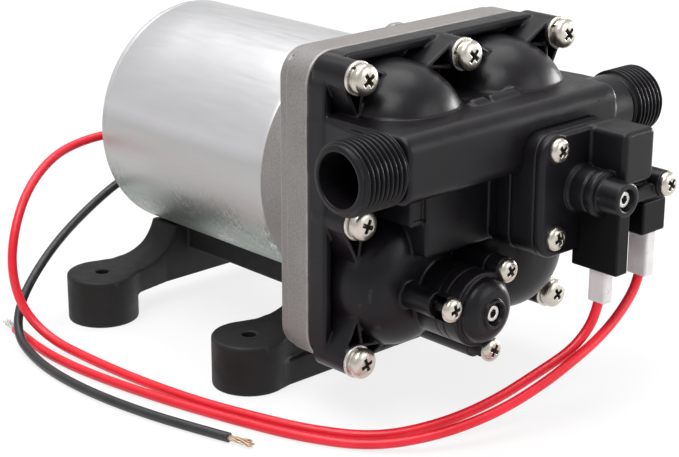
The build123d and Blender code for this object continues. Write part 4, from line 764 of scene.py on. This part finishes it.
def make_head():
    field = Field((-49.2, -111.4, 15.2), (49.2, -66.6, 110.0), 0.42)
    low, high = motor_z - half_head, motor_z + half_head
    field.add(swept(1, panel(-half_head, half_head, low, high, head_corner), face, rim_y, 0.8))
    inside = panel(-43.8, 43.8, low + rim_width, high - rim_width, 6.7)
    field.cut(swept(1, inside, floor_y, -80, 0.1), blend=0.5)
    for place in screw_places:
        field.add(rod(*place, boss_radius, floor_y + 1, boss_y, 0.35), blend=0.7)
    for place, tip in web_triangles():
        for wall in web_walls(place, tip):
            field.add(swept(1, wall, floor_y + 1, web_y, 0.3), blend=0.35)
    for x, z in dome_places:
        front, power = (-89.8, 3.4) if x < 0 and z < motor_z else (-96.75, 2.6)
        field.add(turned(x, z, dome_profile(front, power)), blend=0.3)
        groove = [(floor_y - 0.1, 21.4), (floor_y + 0.5, 21.7), (floor_y - 0.1, 22.1)]
        field.cut(turned(x, z, groove), blend=0.2)
    # The manifold with round edges, and the pedestals and necks of the two ports
    field.add(swept(0, panel(-107.9, floor_y, 73.25, 92.75, 4.6), -46.4, 41.0, 1.2), blend=0.6)
    for side in (-1, 1):
        pedestal = polygon(
            (side * 36, face + 0.3), (side * 46.3, face + 0.3), (side * 46.3, rim_y), (side * 48.2, -88.6),
            (side * 48.2, port_y), (side * 36, port_y),
        )
        field.add(swept(2, pedestal, 74.6, 91.4, 0.8), blend=0.9)
        neck_end = side * port_start[side] - side * 0.1
        field.add(rod(port_y, port_z, 9.65, side * 36, neck_end, 0.25, axis=0), blend=0.3)
    # The middle block with its side step and notch, the seat of the pressure switch, and room for its plate
    field.add(swept(1, panel(-25.8, switch_right, 50.6, 83, 1.6), floor_y + 1, -94.85, 0.8), blend=0.4)
    field.add(swept(1, panel(-30.6, -20, 60.6, 78, 1.0), floor_y + 1, -93.2, 0.5), blend=0.3)
    field.cut(swept(0, polygon((-93.9, 62.9), (-92.7, 62.3), (-93.9, 61.7)), -31, -25.6, 0.05), blend=0.15)
    seat = panel(switch_left + 0.35, switch_right, switch_low + 0.35, switch_high, 6.0)
    field.add(swept(1, seat, floor_y + 1, switch_seat, 0.2), blend=0.7)
    field.add(swept(1, switch_outline, -98.3, switch_seat, 0.25), blend=0.1)
    room = panel(switch_left - 0.02, switch_right + 0.02, switch_low - 1, switch_high + 0.02, 6.0)
    field.cut(swept(1, room, switch_seat, -112, 0.02), blend=0.1)
    # The bypass housing with its three pillars, and a groove round it
    field.add(rod(bypass_x, bypass_z, bypass_radius, floor_y + 1, bypass_y, 0.3), blend=0.9)
    for lobe in bypass_lobes(floor_y + 1, bypass_y):
        field.add(lobe, blend=0.5)
    field.cut(turned(bypass_x, bypass_z, [(-98.2, 10.9), (-97.9, 11.5), (-97.6, 10.9)]), blend=0.15)
    # The raised bead on the saddle between the upper domes, with its notch
    field.add(rod(-93.6, 92.5, 1.7, -8.0, 12.0, 1.2, axis=0), blend=1.6)
    field.cut(swept(1, polygon((-2.7, 95.0), (-1.1, 92.5), (0.1, 95.0)), -91.0, -98.0, 0.1), blend=0.3)
    # The bores of the ports, the screws, the pistons, the valves and the bypass
    for radius, start, end in ((port_bore, -50, -2), (port_bore, 36.5, 50), (outlet_bore, 24.5, 37)):
        field.cut(rod(port_y, port_z, radius, start, end, 0.1, axis=0))
    field.bore(screw_places, head_bore, face + 1, boss_y - 1)
    for place in dome_places:
        field.cut(rod(*place, 15.0, face + 1, -82.25), rod(*place, 7.5, -82, -87.25))
    field.cut(rod(bypass_x, bypass_z, poppet_bore, -86.75, bypass_y - 1, 0.1))
    field.bore(bypass_screws, small_bore, -92.75, bypass_y - 1)
    field.bore(switch_screws, small_bore, -95.45, switch_seat - 1)
    return moulding("pump_head_moulding", field, "head", keep=0.42)


def port_thread(side):
    """A threaded port: a helical ridge that fades at the nose, round the smooth bore."""
    start, end, steps = port_start[side], port_nose, 160

    def lift(angle, along, radius):
        if radius >= 9.0 and start + 0.01 < along < end - 0.01:
            phase = ((along - start) / port_pitch - side * angle / (2 * pi)) % 1.0
            ridge = 1.0 - abs(phase - 0.5) * 2
            ridge = min(1.0, max(0.0, (ridge - 0.16) * 1.55))
            fade = min(1.0, (end - 0.35 - along) / 1.5, (along - start) / 0.8)
            radius = port_root + (port_crest - port_root) * ridge * max(0.0, fade)
        return side * along, radius

    profile = [(start - 0.02, 9.6), (start - 0.02, port_bore), (start + 0.5, 7.69)]
    profile += [(end - 0.5, 7.69), (end - 0.14, 7.76), (end, 8.0), (end, 8.85), (end - 0.2, 9.0 - 0.01)]
    profile += [(end - 0.25 - (end - start - 0.3) * step / steps, port_root) for step in range(steps + 1)]
    points, faces = rings(profile, port_y, port_z, axis=0, sides=120, lift=lift)
    name = "left_port_thread" if side < 0 else "right_port_thread"
    made = add_mesh(name, points, faces if side > 0 else [face[::-1] for face in faces], "head")
    return made


stands_for(make_head(), "pump_head")
for side in (-1, 1):
    port_thread(side)

# Pressure switch


def make_switch_plate():
    field = Field((-1.4, -113.2, 48.2), (34.6, -102.7, 86.4), 0.34)
    field.add(swept(1, switch_outline, switch_seat, switch_joint, 0.45))
    groove = polygon((9.0, -110.5), (31.0, -110.15), (31.0, -109.85), (9.0, -110.1))
    field.cut(swept(2, groove, switch_high - 0.25, switch_high + 1, 0.02), blend=0.1)
    field.cut(rod(barrel_x, barrel_z, 11.0, switch_seat + 1, switch_seat - 1, 0.05))
    field.cut(rod(barrel_x, barrel_z, 6.05, switch_seat + 1, switch_joint - 1, 0.05))
    field.bore(switch_screws, small_bore, switch_seat + 1, switch_joint - 1)
    return moulding("switch_plate_moulding", field, "switch", keep=0.35)


def make_switch_cover():
    field = Field((-1.4, -133.2, 48.2), (44.4, -111.8, 86.4), 0.32)
    field.add(swept(1, switch_outline, switch_joint + 3, switch_front, 1.3))
    for place in switch_screws:
        field.add(rod(*place, 4.6, switch_joint + 2, switch_front, 0.3), blend=0.4)
    block, sill = panel(20.2, switch_right, 69.7, switch_high, 1.8), panel(19.5, 36.0, 65.6, 71.0, 0.6)
    field.add(swept(1, block, switch_joint + 3, -127.85, 1.5), blend=1.2)
    field.add(swept(1, sill, switch_joint + 3, -124.0, 0.3), blend=0.5)
    field.cut(swept(1, panel(-6, 50, 40, 95, 1), switch_joint + 6, switch_joint, 0.02), blend=0.5)
    barrel = [
        (-113.5, 0.0), (-113.5, 7.3), (-115.9, 7.3), (-116.1, 7.05), (-116.4, 6.75), (-120.7, 6.55),
        (-121.1, 6.25), (-121.5, 6.1), (-121.8, 6.75), (-122.2, 6.95), (-124.1, 6.95), (-124.6, 6.6),
        (-124.75, 6.1), (-124.8, 5.3), (-125.3, 5.12), (-132.0, 5.05), (-132.35, 4.9),
        (barrel_front, 4.6), (barrel_front, 0.0),
    ]
    field.add(turned(barrel_x, barrel_z, barrel), blend=0.3)
    # The pillar of the third screw, the arm from the barrel and the lug from the block
    field.add(swept(0, panel(-126.85, -123.35, 63.2, 67.4, 0.7), barrel_x, pillar_x, 0.5), blend=0.4)
    field.add(rod(pillar_x, pillar_z, lobe_radius, -121.25, pillar_front, 0.4), blend=0.5)
    field.add(swept(0, panel(-123.35, -121.25, 67.2, 71.1, 0.5), 32.2, pillar_x, 0.3), blend=0.4)
    field.cut(rod(barrel_x, barrel_z, grub_bore, switch_joint + 1, barrel_front - 1, 0.05), blend=0.1)
    mouth = [(-131.2, 0.0), (-131.2, 3.0), (-132.6, 3.45), (-132.6, 0.0)]
    field.cut(turned(barrel_x, barrel_z, mouth), blend=0.15)
    field.cut(rod(barrel_x, barrel_z, 5.2, switch_joint + 1, switch_joint - 0.8, 0.05), blend=0.1)
    field.bore(switch_screws, small_bore, switch_joint + 1, switch_front - 1)
    field.bore([(pillar_x, pillar_z)], small_bore, -121, pillar_front - 1)
    return moulding("switch_cover_moulding", field, "switch", keep=0.4)


def make_microswitch():
    """The snap switch: a hood over the left spade, a bridge and a block over the right spade."""
    field = Field((15.4, -130.6, 43.4), (43.4, -112.4, 64.0), 0.26)
    field.add(swept(2, panel(16.2, 21.4, -129.85, switch_front, 0.45), 44.2, 63.2, 0.4))
    field.add(swept(2, panel(16.2, 21.4, switch_front - 1, -113.2, 0.45), 44.2, 48.9, 0.4), blend=0.1)
    field.add(swept(2, panel(20.9, switch_right, -119.75, switch_front, 0.4), 52.2, 62.4, 0.3), blend=0.3)
    field.add(swept(2, panel(31.9, 42.6, -126.55, -117.25, 0.75), 52.2, 62.3, 0.7), blend=0.3)
    # Parting line round the hood and the row where the two halves of the block meet
    field.cut(swept(2, polygon((15.9, -126.1), (16.35, -125.95), (15.9, -125.8)), 43, 64, 0.02), blend=0.1)
    field.cut(swept(2, polygon((42.9, -121.9), (42.45, -121.75), (42.9, -121.6)), 51, 64, 0.02), blend=0.1)
    field.cut(swept(2, panel(16.7, 20.9, -125.75, -119.15, 0.3), 40, 48.1, 0.1), blend=0.15)
    return moulding("snap_switch_body", field, "snap", keep=0.4)


def make_sleeve(x, top, wide, deep):
    """One hollow spade sleeve with a lip at its mouth; wide and deep are half its sides."""
    low = (x - wide - 0.5, spade_y - deep - 0.5, top - 14.1)
    field = Field(low, (x + wide + 0.5, spade_y + deep + 0.5, top + 0.4), 0.17)
    for size, drop in ((0.0, 13.7), (0.05, 0.9)):
        outline = panel(x - wide - size, x + wide + size, spade_y - deep - size, spade_y + deep + size, 0.75)
        field.add(swept(2, outline, top - drop, top, 0.3), blend=0.3)
    room = panel(x - 1.56, x + 1.56, spade_y - 2.78, spade_y + 2.78, 0.4)
    field.cut(swept(2, room, top - 10.2, top + 1, 0.2), blend=0.2)
    field.cut(rod(x, spade_y, 1.5, top - 15, top - 10, 0.05, axis=2), blend=0.2)
    return field.skin(2)


def sleeve_set():
    pair = [make_sleeve(18.8, 48.1, 1.98, 3.15), make_sleeve(37.25, 52.2, 2.15, 3.5)]
    return add_mesh("spade_sleeve_pair", *joined(pair), "sleeve")


stands_for(make_switch_plate(), "switch_plate")
stands_for(make_switch_cover(), "switch_cover")
stands_for(make_microswitch(), "microswitch")
sleeves = stands_for(sleeve_set(), "spade_sleeves")

# Bypass cap


def make_bypass_cap():
    field = Field((-28.6, -112.0, 20.6), (1.2, -100.2, 50.8), 0.26)
    field.add(rod(bypass_x, bypass_z, bypass_radius, bypass_y, bypass_front, 0.45))
    for lobe in bypass_lobes(bypass_y, bypass_front, 0.45):
        field.add(lobe, blend=0.5)
    bell = [(-104.5, 0.0), (-104.5, 9.6), (-106.6, 9.6)]
    for step in range(1, 11):
        angle = pi / 2 * step / 10 * 0.8
        bell.append((-106.6 - 3.75 * sin(angle), 4.6 + 5.0 * cos(angle)))
    bell += [(-110.2, 4.5), (-111.0, 4.35), (nose_y, 4.0), (nose_y, 0.0)]
    field.add(turned(bypass_x, bypass_z, bell), blend=0.7)
    field.cut(rod(bypass_x, bypass_z, poppet_bore, bypass_y + 1, -108.4, 0.1))
    field.cut(rod(bypass_x, bypass_z, grub_bore, bypass_y + 1, nose_y - 1, 0.05), blend=0.1)
    mouth = [(-110.2, 0.0), (-110.2, 3.0), (-111.5, 3.6), (-111.5, 0.0)]
    field.cut(turned(bypass_x, bypass_z, mouth), blend=0.12)
    field.bore(bypass_screws, small_bore, bypass_y + 1, bypass_front - 1)
    return moulding("bypass_cap_moulding", field, "head", keep=0.4)


stands_for(make_bypass_cap(), "bypass_cap")

# Fasteners


def paint_recess_shade(made, dark):
    """Gives the faces marked in dark a painted shade, the dark of a recess."""
    made.data.materials.append(look["recess"])
    made.data.polygons.foreach_set("material_index", dark.astype(np.int32))
    return made


def screw_field(radius, height, shank, reach, arm, width):
    """A screw with a cross recess, its head's underside at 0 and its top towards -Y, and the faces of its
    recess that get painted shade.
    """
    low = (-radius - 0.5, -height - 0.5, -radius - 0.5)
    field = Field(low, (radius + 0.5, reach + 0.5, radius + 0.5), 0.15)
    side = height * 0.30
    angles = [pi / 2 * n / 14 for n in range(14)]
    crown = [(-side - (height - side) * sin(a) ** 0.95, radius * cos(a) ** 0.62) for a in angles]
    head = turned(0, 0, [(0.0, 0.0), (0.0, radius)] + crown + [(-height, 0.0)])
    field.add(head)
    field.add(turned(0, 0, [(-0.5, 0.0), (-0.5, shank), (reach, shank), (reach, 0.0)]), blend=0.2)
    depth = height * 0.72

    def recess(x, y, z):
        down = np.clip((y + height) / depth, 0, 1)
        reach_here, wide = arm * (1 - 0.45 * down), width * (1 - 0.15 * down)
        first = np.maximum(abs(x) - wide * (1 + 0.25 * abs(z) / arm), abs(z) - reach_here)
        second = np.maximum(abs(z) - wide * (1 + 0.25 * abs(x) / arm), abs(x) - reach_here)
        middle = (abs(x) + abs(z)) / 1.414 - width * 1.75 * (1 - 0.4 * down)
        return np.maximum(np.minimum(np.minimum(first, second), middle), y + height - depth)

    field.cut((recess, [-radius, -height - 1, -radius], [radius, -height + depth, radius]), blend=0.1)
    points, quads = field.skin(2)
    middle = points[quads].mean(1)
    # The faces sunk in the cross recess, which get painted shade
    sunk = (head[0](*middle.T) < -0.14) & (middle[:, 1] < -height * 0.1)
    return points, quads, sunk & (length2(middle[:, 0], middle[:, 2]) < arm * 1.2)


def fastener_set(name, node, places, skin, turns):
    """Copies of one skinned fastener at (x, y, z) places, each turned about its axis."""
    points, quads, dark = skin
    u, v, w = points.T
    copies = []
    for (x, y, z), turn in zip(places, turns):
        c, s = cos(turn), sin(turn)
        copies.append((np.stack((u * c - w * s + x, v + y, u * s + w * c + z), 1), quads))
    made = add_mesh(name, *joined(copies), "nickel")
    return stands_for(paint_recess_shade(made, np.tile(dark, len(copies))), node)


lock_face = boss_y - 2.3
big_screw = screw_field(4.5, 2.7, 2.28, 3.0, 2.2, 0.52)
small_screw = screw_field(3.6, 2.4, 1.42, 2.0, 1.95, 0.5)
switch_heads = [(x, switch_front, z) for x, z in switch_screws] + [(pillar_x, pillar_front, pillar_z)]
for name, node, places, skin, turns in (
    ("head_screw_set", "head_screws", [(x, lock_face, z) for x, z in screw_places], big_screw,
     (0.35, 1.15, 0.62, 0.1, 0.85, 0.5, 1.3, 0.75)),
    ("bypass_screw_set", "bypass_screws", [(x, bypass_front, z) for x, z in bypass_screws], small_screw,
     (0.5, 0.2, 1.0)),
    ("switch_screw_set", "switch_screws", switch_heads, small_screw, (0.7, 0.35, 0.9)),
):
    fastener_set(name, node, places, skin, turns)


def washer_set():
    """Flat washers with rounded edges."""
    radius, bore, rear, front, edge = 4.95, head_bore, boss_y, boss_y - 1.0, 0.18
    section = [
        (rear, bore), (rear, radius - edge), (rear - edge * 0.3, radius - edge * 0.3), (rear - edge, radius),
        (front + edge, radius), (front + edge * 0.3, radius - edge * 0.3), (front, radius - edge),
        (front, bore + edge), (front + edge, bore),
    ]
    washers = [rings(section, x, z, sides=64) for x, z in screw_places]
    return add_mesh("flat_washer_set", *joined(washers), "washer")


def lock_washer_set():
    """Split spring washers: a square section carried round, rising a little to the slit."""
    sides, thick, gap, rise = 60, 1.05, 0.22, 0.25
    section = [(0.0, 2.4), (0.0, 4.02), (0.12, 4.2), (thick - 0.12, 4.2), (thick, 4.02), (thick, 2.4)]
    washers = []
    for (x, z), slit in zip(screw_places, (pi / 2, 0.3, 2.2, 1.1, 2.9, 0.7, 1.9, 2.5)):
        sections = []
        for side in range(sides + 1):
            angle, lifted = slit + gap / 2 + (2 * pi - gap) * side / sides, rise * side / sides
            sections.append([
                (x + radius * cos(angle), boss_y - 1.0 - along - lifted, z + radius * sin(angle))
                for along, radius in section
            ])
        washers.append(tube(sections))
    return add_mesh("lock_washer_set", *joined(washers), "washer", smooth=False)


def grub_screw(name, node, x, front, z, body):
    """A socket set screw: a threaded barrel, a chamfered bright face and a hexagon sunk in it."""
    pitch, length = 0.8, 5.0
    field = Field((-3.2, -0.4, -3.2), (3.2, length + 0.4, 3.2), 0.13)

    def barrel(u, v, w):
        along = (v / pitch - np.arctan2(w, u) / (2 * pi)) % 1.0
        radius = 2.62 + 0.26 * np.clip(1 - abs(along - 0.5) * 2.6, 0, 1)
        ends = np.maximum(-v, v - length)
        chamfer = (length2(u, w) - 2.25 - v) * 0.7071
        return np.maximum(np.maximum(length2(u, w) - radius, ends), chamfer)

    def hexagon(u, v, w):
        flats = [abs(u * cos(turn) + w * sin(turn)) for turn in (0.2, 0.2 + pi / 3, 0.2 + 2 * pi / 3)]
        return np.maximum(np.maximum(np.maximum(*flats[:2]), flats[2]) - 1.15, v - 2.2)

    field.add((barrel, [-2.9, 0, -2.9], [2.9, length, 2.9]))
    field.cut((hexagon, [-1.4, -1, -1.4], [1.4, 2.2, 1.4]), blend=0.08)
    points, quads = field.skin(1)
    middle = points[quads].mean(1)
    # The faces inside the hexagon socket, which get painted shade
    inner = (length2(middle[:, 0], middle[:, 2]) < 1.3) & (middle[:, 1] > 0.15) & (middle[:, 1] < 2.4)
    made = add_mesh(name, points + np.array((x, front, z)), quads, "grub", body)
    return stands_for(paint_recess_shade(made, inner), node)


stands_for(washer_set(), "flat_washers")
stands_for(lock_washer_set(), "lock_washers")
grub_screw("bypass_grub_screw", "bypass_adjusting_screw", bypass_x, -110.15, bypass_z, "bypass_screw_body")
grub_screw("switch_grub_screw", "switch_adjusting_screw", barrel_x, -131.25, barrel_z, "switch_screw_body")

# Motor can, end bell and grommets


def make_can():
    """The drawn tube, with a rolled rear rim and a thin turned lip where it meets the casting."""
    inner = can_radius - can_wall
    profile = [(can_rear - 0.1, inner), (can_rear, inner + 0.5), (can_rear, can_radius - 0.75)]
    for turn in (0.25, 0.5, 0.8, 1.1, 1.4):
        profile.append((can_rear - 0.7 + 0.7 * cos(turn), can_radius - 0.7 + 0.7 * sin(turn)))
    profile += [
        (can_rear - back, can_radius - drop)
        for back, drop in ((0.8, 0), (1.9, 0), (2.1, 0.06), (2.4, 0.06), (2.6, 0))
    ]
    profile += [
        (can_front + along, can_radius - drop)
        for along, drop in (
            (60, 0), (40, 0), (20, 0), (3.2, 0), (2.6, 0.05), (1.4, 0.09), (0.5, 0.3), (0.12, 0.6), (0, 0.9)
        )
    ]
    profile.append((can_front, inner))
    return add_mesh("can_shell", *rings(profile, 0, motor_z, sides=192), "can")


def make_end_bell():
    """The pressed end plate: a bearing boss, a shallow pressed ring, three ribs and the two lead holes."""
    field = Field((-36.6, 38.2, 25.9), (36.6, 47.3, 99.1), 0.45)
    field.add(rod(0, motor_z, 36.0, bell_front, bell_rear, 0.5))
    field.add(rod(0, motor_z, 11.5, bell_front, 46.75, 1.0), blend=1.6)
    ring = [(0.5, 29.6), (-0.6, 30.2), (-0.6, 31.4), (0.5, 32.0)]
    field.cut(turned(0, motor_z, [(bell_rear + along, radius) for along, radius in ring]))
    for turn in (90, 210, 330):
        x, z = cos(radians(turn)), sin(radians(turn))
        rib = ((8, 1.6), (28, 1.1), (28, -1.1), (8, -1.6))
        corners = [(x * a - z * b, motor_z + z * a + x * b) for a, b in rib]
        field.add(swept(1, polygon(*corners), bell_rear - 1, bell_rear + 1.1, 0.4), blend=0.8)
    field.cut(rod(0, motor_z, bearing_bore, bell_front - 1, 45.0))
    for z in lead_heights:
        field.cut(rod(lead_x, z, 2.75, bell_front - 1, bell_rear + 1, 0.1), blend=0.2)
    return moulding("end_bell_pressing", field, "can", keep=0.4)


def grommet_set():
    section = [
        (bell_front, 1.5), (bell_front, 2.7), (bell_rear, 2.7), (41.76, 3.4), (41.9, 3.6), (42.7, 3.6),
        (42.95, 3.35), (43.0, 2.7), (43.3, 2.5), (45.0, 2.4), (45.3, 2.2), (45.35, 1.55),
    ]
    grommets = [rings(section, lead_x, z, sides=48) for z in lead_heights]
    return add_mesh("grommet_pair", *joined(grommets), "membrane")


stands_for(make_can(), "motor_can")
stands_for(make_end_bell(), "motor_end_bell")
stands_for(grommet_set(), "lead_grommets")

# Cast drive housing


def make_housing():
    field = Field((-47.0, -67.7, 15.5), (47.0, -29.0, 109.8), 0.5)
    low, high = motor_z - half_head, motor_z + half_head
    field.add(swept(1, panel(-half_head, half_head, low, high, head_corner), step_front, face, 0.45))
    back = panel(-46.0, 46.0, low + 0.6, high - 0.6, 8.9)
    field.add(swept(1, back, plate_rear, step_front - 1, 0.8), blend=0.1)
    # The round neck with its hollow curve, and the bearing's boss inside the can
    neck = [(-66, 0.0), (-66, 38.7), (-55.2, 43.7)]
    neck += [(plate_rear + 5 - 5 * cos(a), 43.7 - 5 * sin(a)) for a in (0.15, 0.4, 0.7, 1.0, 1.3, 1.5)]
    neck += [
        (can_front - 0.4, 38.7), (can_front - 0.1, 38.55), (can_front, 38.3), (can_front, 36.0),
        (-33.9, 36.0), (-33.45, 35.6), (-33.45, 12.5), (-29.8, 12.5), (-29.45, 12.1), (-29.45, 0.0),
    ]
    field.add(turned(0, motor_z, neck), blend=0.4)
    # A sprue nub on the top edge
    nub = polygon((-4.2, 108.2), (-2.6, 109.25), (1.2, 109.25), (2.8, 108.2))
    field.add(swept(1, nub, plate_rear - 0.1, -57.6, 0.3), blend=0.4)
    # Hollows for the diaphragm, the wobble drive, the bearing and the screws
    for half, start, end in ((37.6, face - 1, face + 9.5), (35.5, face + 9, plate_rear - 1.6)):
        hollow = panel(-half, half, motor_z - half, motor_z + half, 12)
        field.cut(swept(1, hollow, start, end, 0.2), blend=0.3)
    field.cut(rod(0, motor_z, drive_bore, plate_rear - 3, face + 29), blend=0.4)
    field.cut(rod(0, motor_z, bearing_bore, -28, -40, 0.1), blend=0.2)
    field.bore(screw_places, housing_bore, face - 1, face + 10.3)
    return moulding("drive_housing_casting", field, "cast", keep=0.42)


stands_for(make_housing(), "drive_housing")

# Rubber base


def make_base():
    field = Field((-56.2, -50.2, -0.6), (56.2, 50.2, 28.2), 0.5)
    # The hollow curve of an arm's top, through three points
    (x1, z1), (x2, z2), (x3, z3) = (30.3, 16.6), (21.8, 20.4), (17.4, 27.4)
    across = np.array([[x2 - x1, z2 - z1], [x3 - x1, z3 - z1]])
    squares = [x2 * x2 - x1 * x1 + z2 * z2 - z1 * z1, x3 * x3 - x1 * x1 + z3 * z3 - z1 * z1]
    mid_x, mid_z = np.linalg.solve(2 * across, squares)
    radius = np.hypot(x1 - mid_x, z1 - mid_z)
    first, last = np.arctan2(z1 - mid_z, x1 - mid_x), np.arctan2(z3 - mid_z, x3 - mid_x) % (2 * pi) - 2 * pi
    turns = np.linspace(first, last, 12)
    curve = [(mid_x + radius * cos(turn), mid_z + radius * sin(turn)) for turn in turns]
    right = [(38.0, 8.3), (foot_x, 0.0), (foot_x, 15.2)] + curve
    side_view, _ = polygon(*right, *[(-x, z) for x, z in right[::-1]])
    for row in (-1, 1):
        mid = row * foot_y
        plan, (low_x, low_y, high_x, high_y) = polygon(
            (-foot_x, mid - 10), (-21.8, mid - 6.5), (21.8, mid - 6.5), (foot_x, mid - 10),
            (foot_x, mid + 10), (21.8, mid + 6.5), (-21.8, mid + 6.5), (-foot_x, mid + 10),
        )

        def arm(x, y, z, plan=plan):
            return rounded(side_view(x, z) + 0.6, plan(x, y) + 0.6, 0.6)

        field.add((arm, [low_x, low_y, 0], [high_x, high_y, 27.4]))
    field.add(swept(2, panel(-12, 12, -44.25, 44.25, 1.2), 18.6, 27.4, 0.5), blend=0.8)
    field.add(swept(2, panel(-39.95, 39.95, -48.15, -36.15, 1.0), 0, 8, 0.6), blend=0.8)
    for x in (-foot_x, foot_x):
        for y in (-foot_y, foot_y):
            field.add(rod(x, y, 11.7, 0, 16, 0.8, axis=2), blend=1.4)
            field.cut(rod(x, y, 2.2, -1, 17, 0.05, axis=2), blend=0.25)
    cradle = [
        (can_rear + 4, 0.0), (can_rear + 4, 38.3), (can_front, 38.3), (can_front, 38.9), (-70, 38.9),
        (-70, 0.0),
    ]
    field.cut(turned(0, motor_z, cradle), blend=0.3)
    for y in (-18.875, 18.875):
        field.cut(rod(0, y, 2.05, 10, 30, 0.05, axis=2), blend=0.2)
    field.cut(swept(2, panel(-60, 60, -55, 55, 1), -3, 0.05, 0.01), blend=0.05)
    return moulding("rubber_base", field, "rubber", keep=0.4)


stands_for(make_base(), "mounting_base")

# Bare strands


def strands(name, node, tip, before, finish):
    """A twisted bundle of fine wires that opens a little towards its cut end."""
    way = Vector(tip) - Vector(before)
    way.normalize()
    side = way.orthogonal().normalized()
    other = way.cross(side)
    rows, sides, wire, wires = 22, 6, 0.17, []

    def around(turn):
        return side * cos(turn) + other * sin(turn)

    for reach, count, phase in ((0.0, 1, 0.0), (0.34, 6, 0.2), (0.68, 12, 0.05)):
        for number in range(count):
            wobble = ((number * 7 + count) % 5 - 2) * 0.05
            length = 8.5 - ((number * 5 + count * 3) % 7) * 0.14
            sections = []
            for row in range(rows + 1):
                share = row / rows
                angle = 2 * pi * (number + phase) / count + 2.1 * share + wobble * share * 3
                spread = reach * (1 + 0.55 * share * share) + (wobble * share if reach else 0)
                centre = Vector(tip) + way * (length * share - 0.4) + around(angle) * spread
                turns = [2 * pi * corner / sides for corner in range(sides)]
                sections.append([tuple(centre + around(turn) * wire) for turn in turns])
            wires.append(tube(sections))
    return stands_for(add_mesh(name, *joined(wires), finish), node)


supply_end = strands("supply_strands", "supply_lead_strands", supply_route[0], supply_route[1], "tinned")
return_end = strands("return_strands", "black_lead_strands", black_route[-1], black_route[-2], "strand")

# The end points of the leads in metres, worked out and not kept

metres(jumper_route[0])
metres(supply_route[-1])
metres(black_route[0])

# Stage and light


floor_radius, floor_sides, floor_glow = 3.0, 48, 0.80
room_greys = ((0.0, 0.55), (0.10, 0.34), (0.24, 0.46), (0.55, 0.80), (1.0, 0.95))
room_strength, gloss_sees_white = 0.8, 0.45


def add_floor():
    """A white disc that also glows to the camera, to the gloss and through the clear parts."""
    shader = Shader("floor_white")
    cloud = shader.noise(3, detail=2.0)
    shader.colour(shader.ramp(cloud, (0.3, (0.80, 0.80, 0.80)), (0.7, (0.83, 0.83, 0.83))))
    shader.set(Roughness=0.9, Specular_IOR_Level=0.1)
    rays = shader.node("ShaderNodeLightPath").outputs
    seen = shader.maths("ADD", rays["Is Camera Ray"], rays["Is Glossy Ray"])
    seen = shader.maths("ADD", seen, rays["Is Transmission Ray"])
    glow = shader.node("ShaderNodeEmission").outputs[0]
    mixed = shader.mixed(shader.maths("MULTIPLY", seen, floor_glow), shader.bsdf.outputs[0], glow)
    shader.link(mixed, shader.output.inputs["Surface"])
    mesh = bpy.data.meshes.new("floor")
    turns = [2 * pi * turn / floor_sides for turn in range(floor_sides)]
    corners = [(floor_radius * cos(turn), floor_radius * sin(turn), 0.0) for turn in turns]
    mesh.from_pydata(corners, [], [list(range(floor_sides))])
    floor = bpy.data.objects.new("floor", mesh)
    bpy.context.scene.collection.objects.link(floor)
    mesh.materials.append(shader.material)


def add_world():
    """Pure white to the camera; to the gloss, a pale room with a darker band at the horizon."""
    world = bpy.data.worlds.new("studio")
    bpy.context.scene.world = world
    tree = Tree(world)
    split = tree.fed("ShaderNodeSeparateXYZ", Vector=tree.node("ShaderNodeTexCoord").outputs["Generated"])
    greys = tree.ramp(split.outputs["Z"], *[(height, (grey, grey, grey)) for height, grey in room_greys])
    room = tree.fed("ShaderNodeBackground", Color=greys, Strength=room_strength)
    white = tree.fed("ShaderNodeBackground", Color=(1.0, 1.0, 1.0))
    rays = tree.node("ShaderNodeLightPath").outputs
    direct = tree.maths("ADD", rays["Is Camera Ray"], rays["Is Transmission Ray"])
    seen = tree.maths("MULTIPLY_ADD", rays["Is Glossy Ray"], gloss_sees_white, direct)
    output = tree.node("ShaderNodeOutputWorld")
    tree.link(tree.mixed(seen, room.outputs[0], white.outputs[0]), output.inputs["Surface"])


def add_lamp(name, place, size, power, target=(0.0, -0.03, 0.05)):
    data = bpy.data.lights.new(name, "AREA")
    data.shape = "RECTANGLE"
    data.size, data.size_y = size
    data.energy = power
    lamp = bpy.data.objects.new(name, data)
    lamp.visible_camera = False
    bpy.context.scene.collection.objects.link(lamp)
    way = Vector(target) - Vector(place)
    lamp.matrix_world = Matrix.Translation(place) @ way.to_track_quat("-Z", "Y").to_matrix().to_4x4()


add_floor()
add_world()
add_lamp("key", (-0.45, -0.15, 1.0), (0.7, 0.5), 7.0)
add_lamp("top", (0.15, 0.25, 1.1), (1.0, 0.7), 8.0)
add_lamp("front", (0.45, -1.0, 0.45), (0.6, 0.6), 3.0)
add_lamp("side", (0.95, -0.28, 0.14), (0.5, 0.3), 8.0)
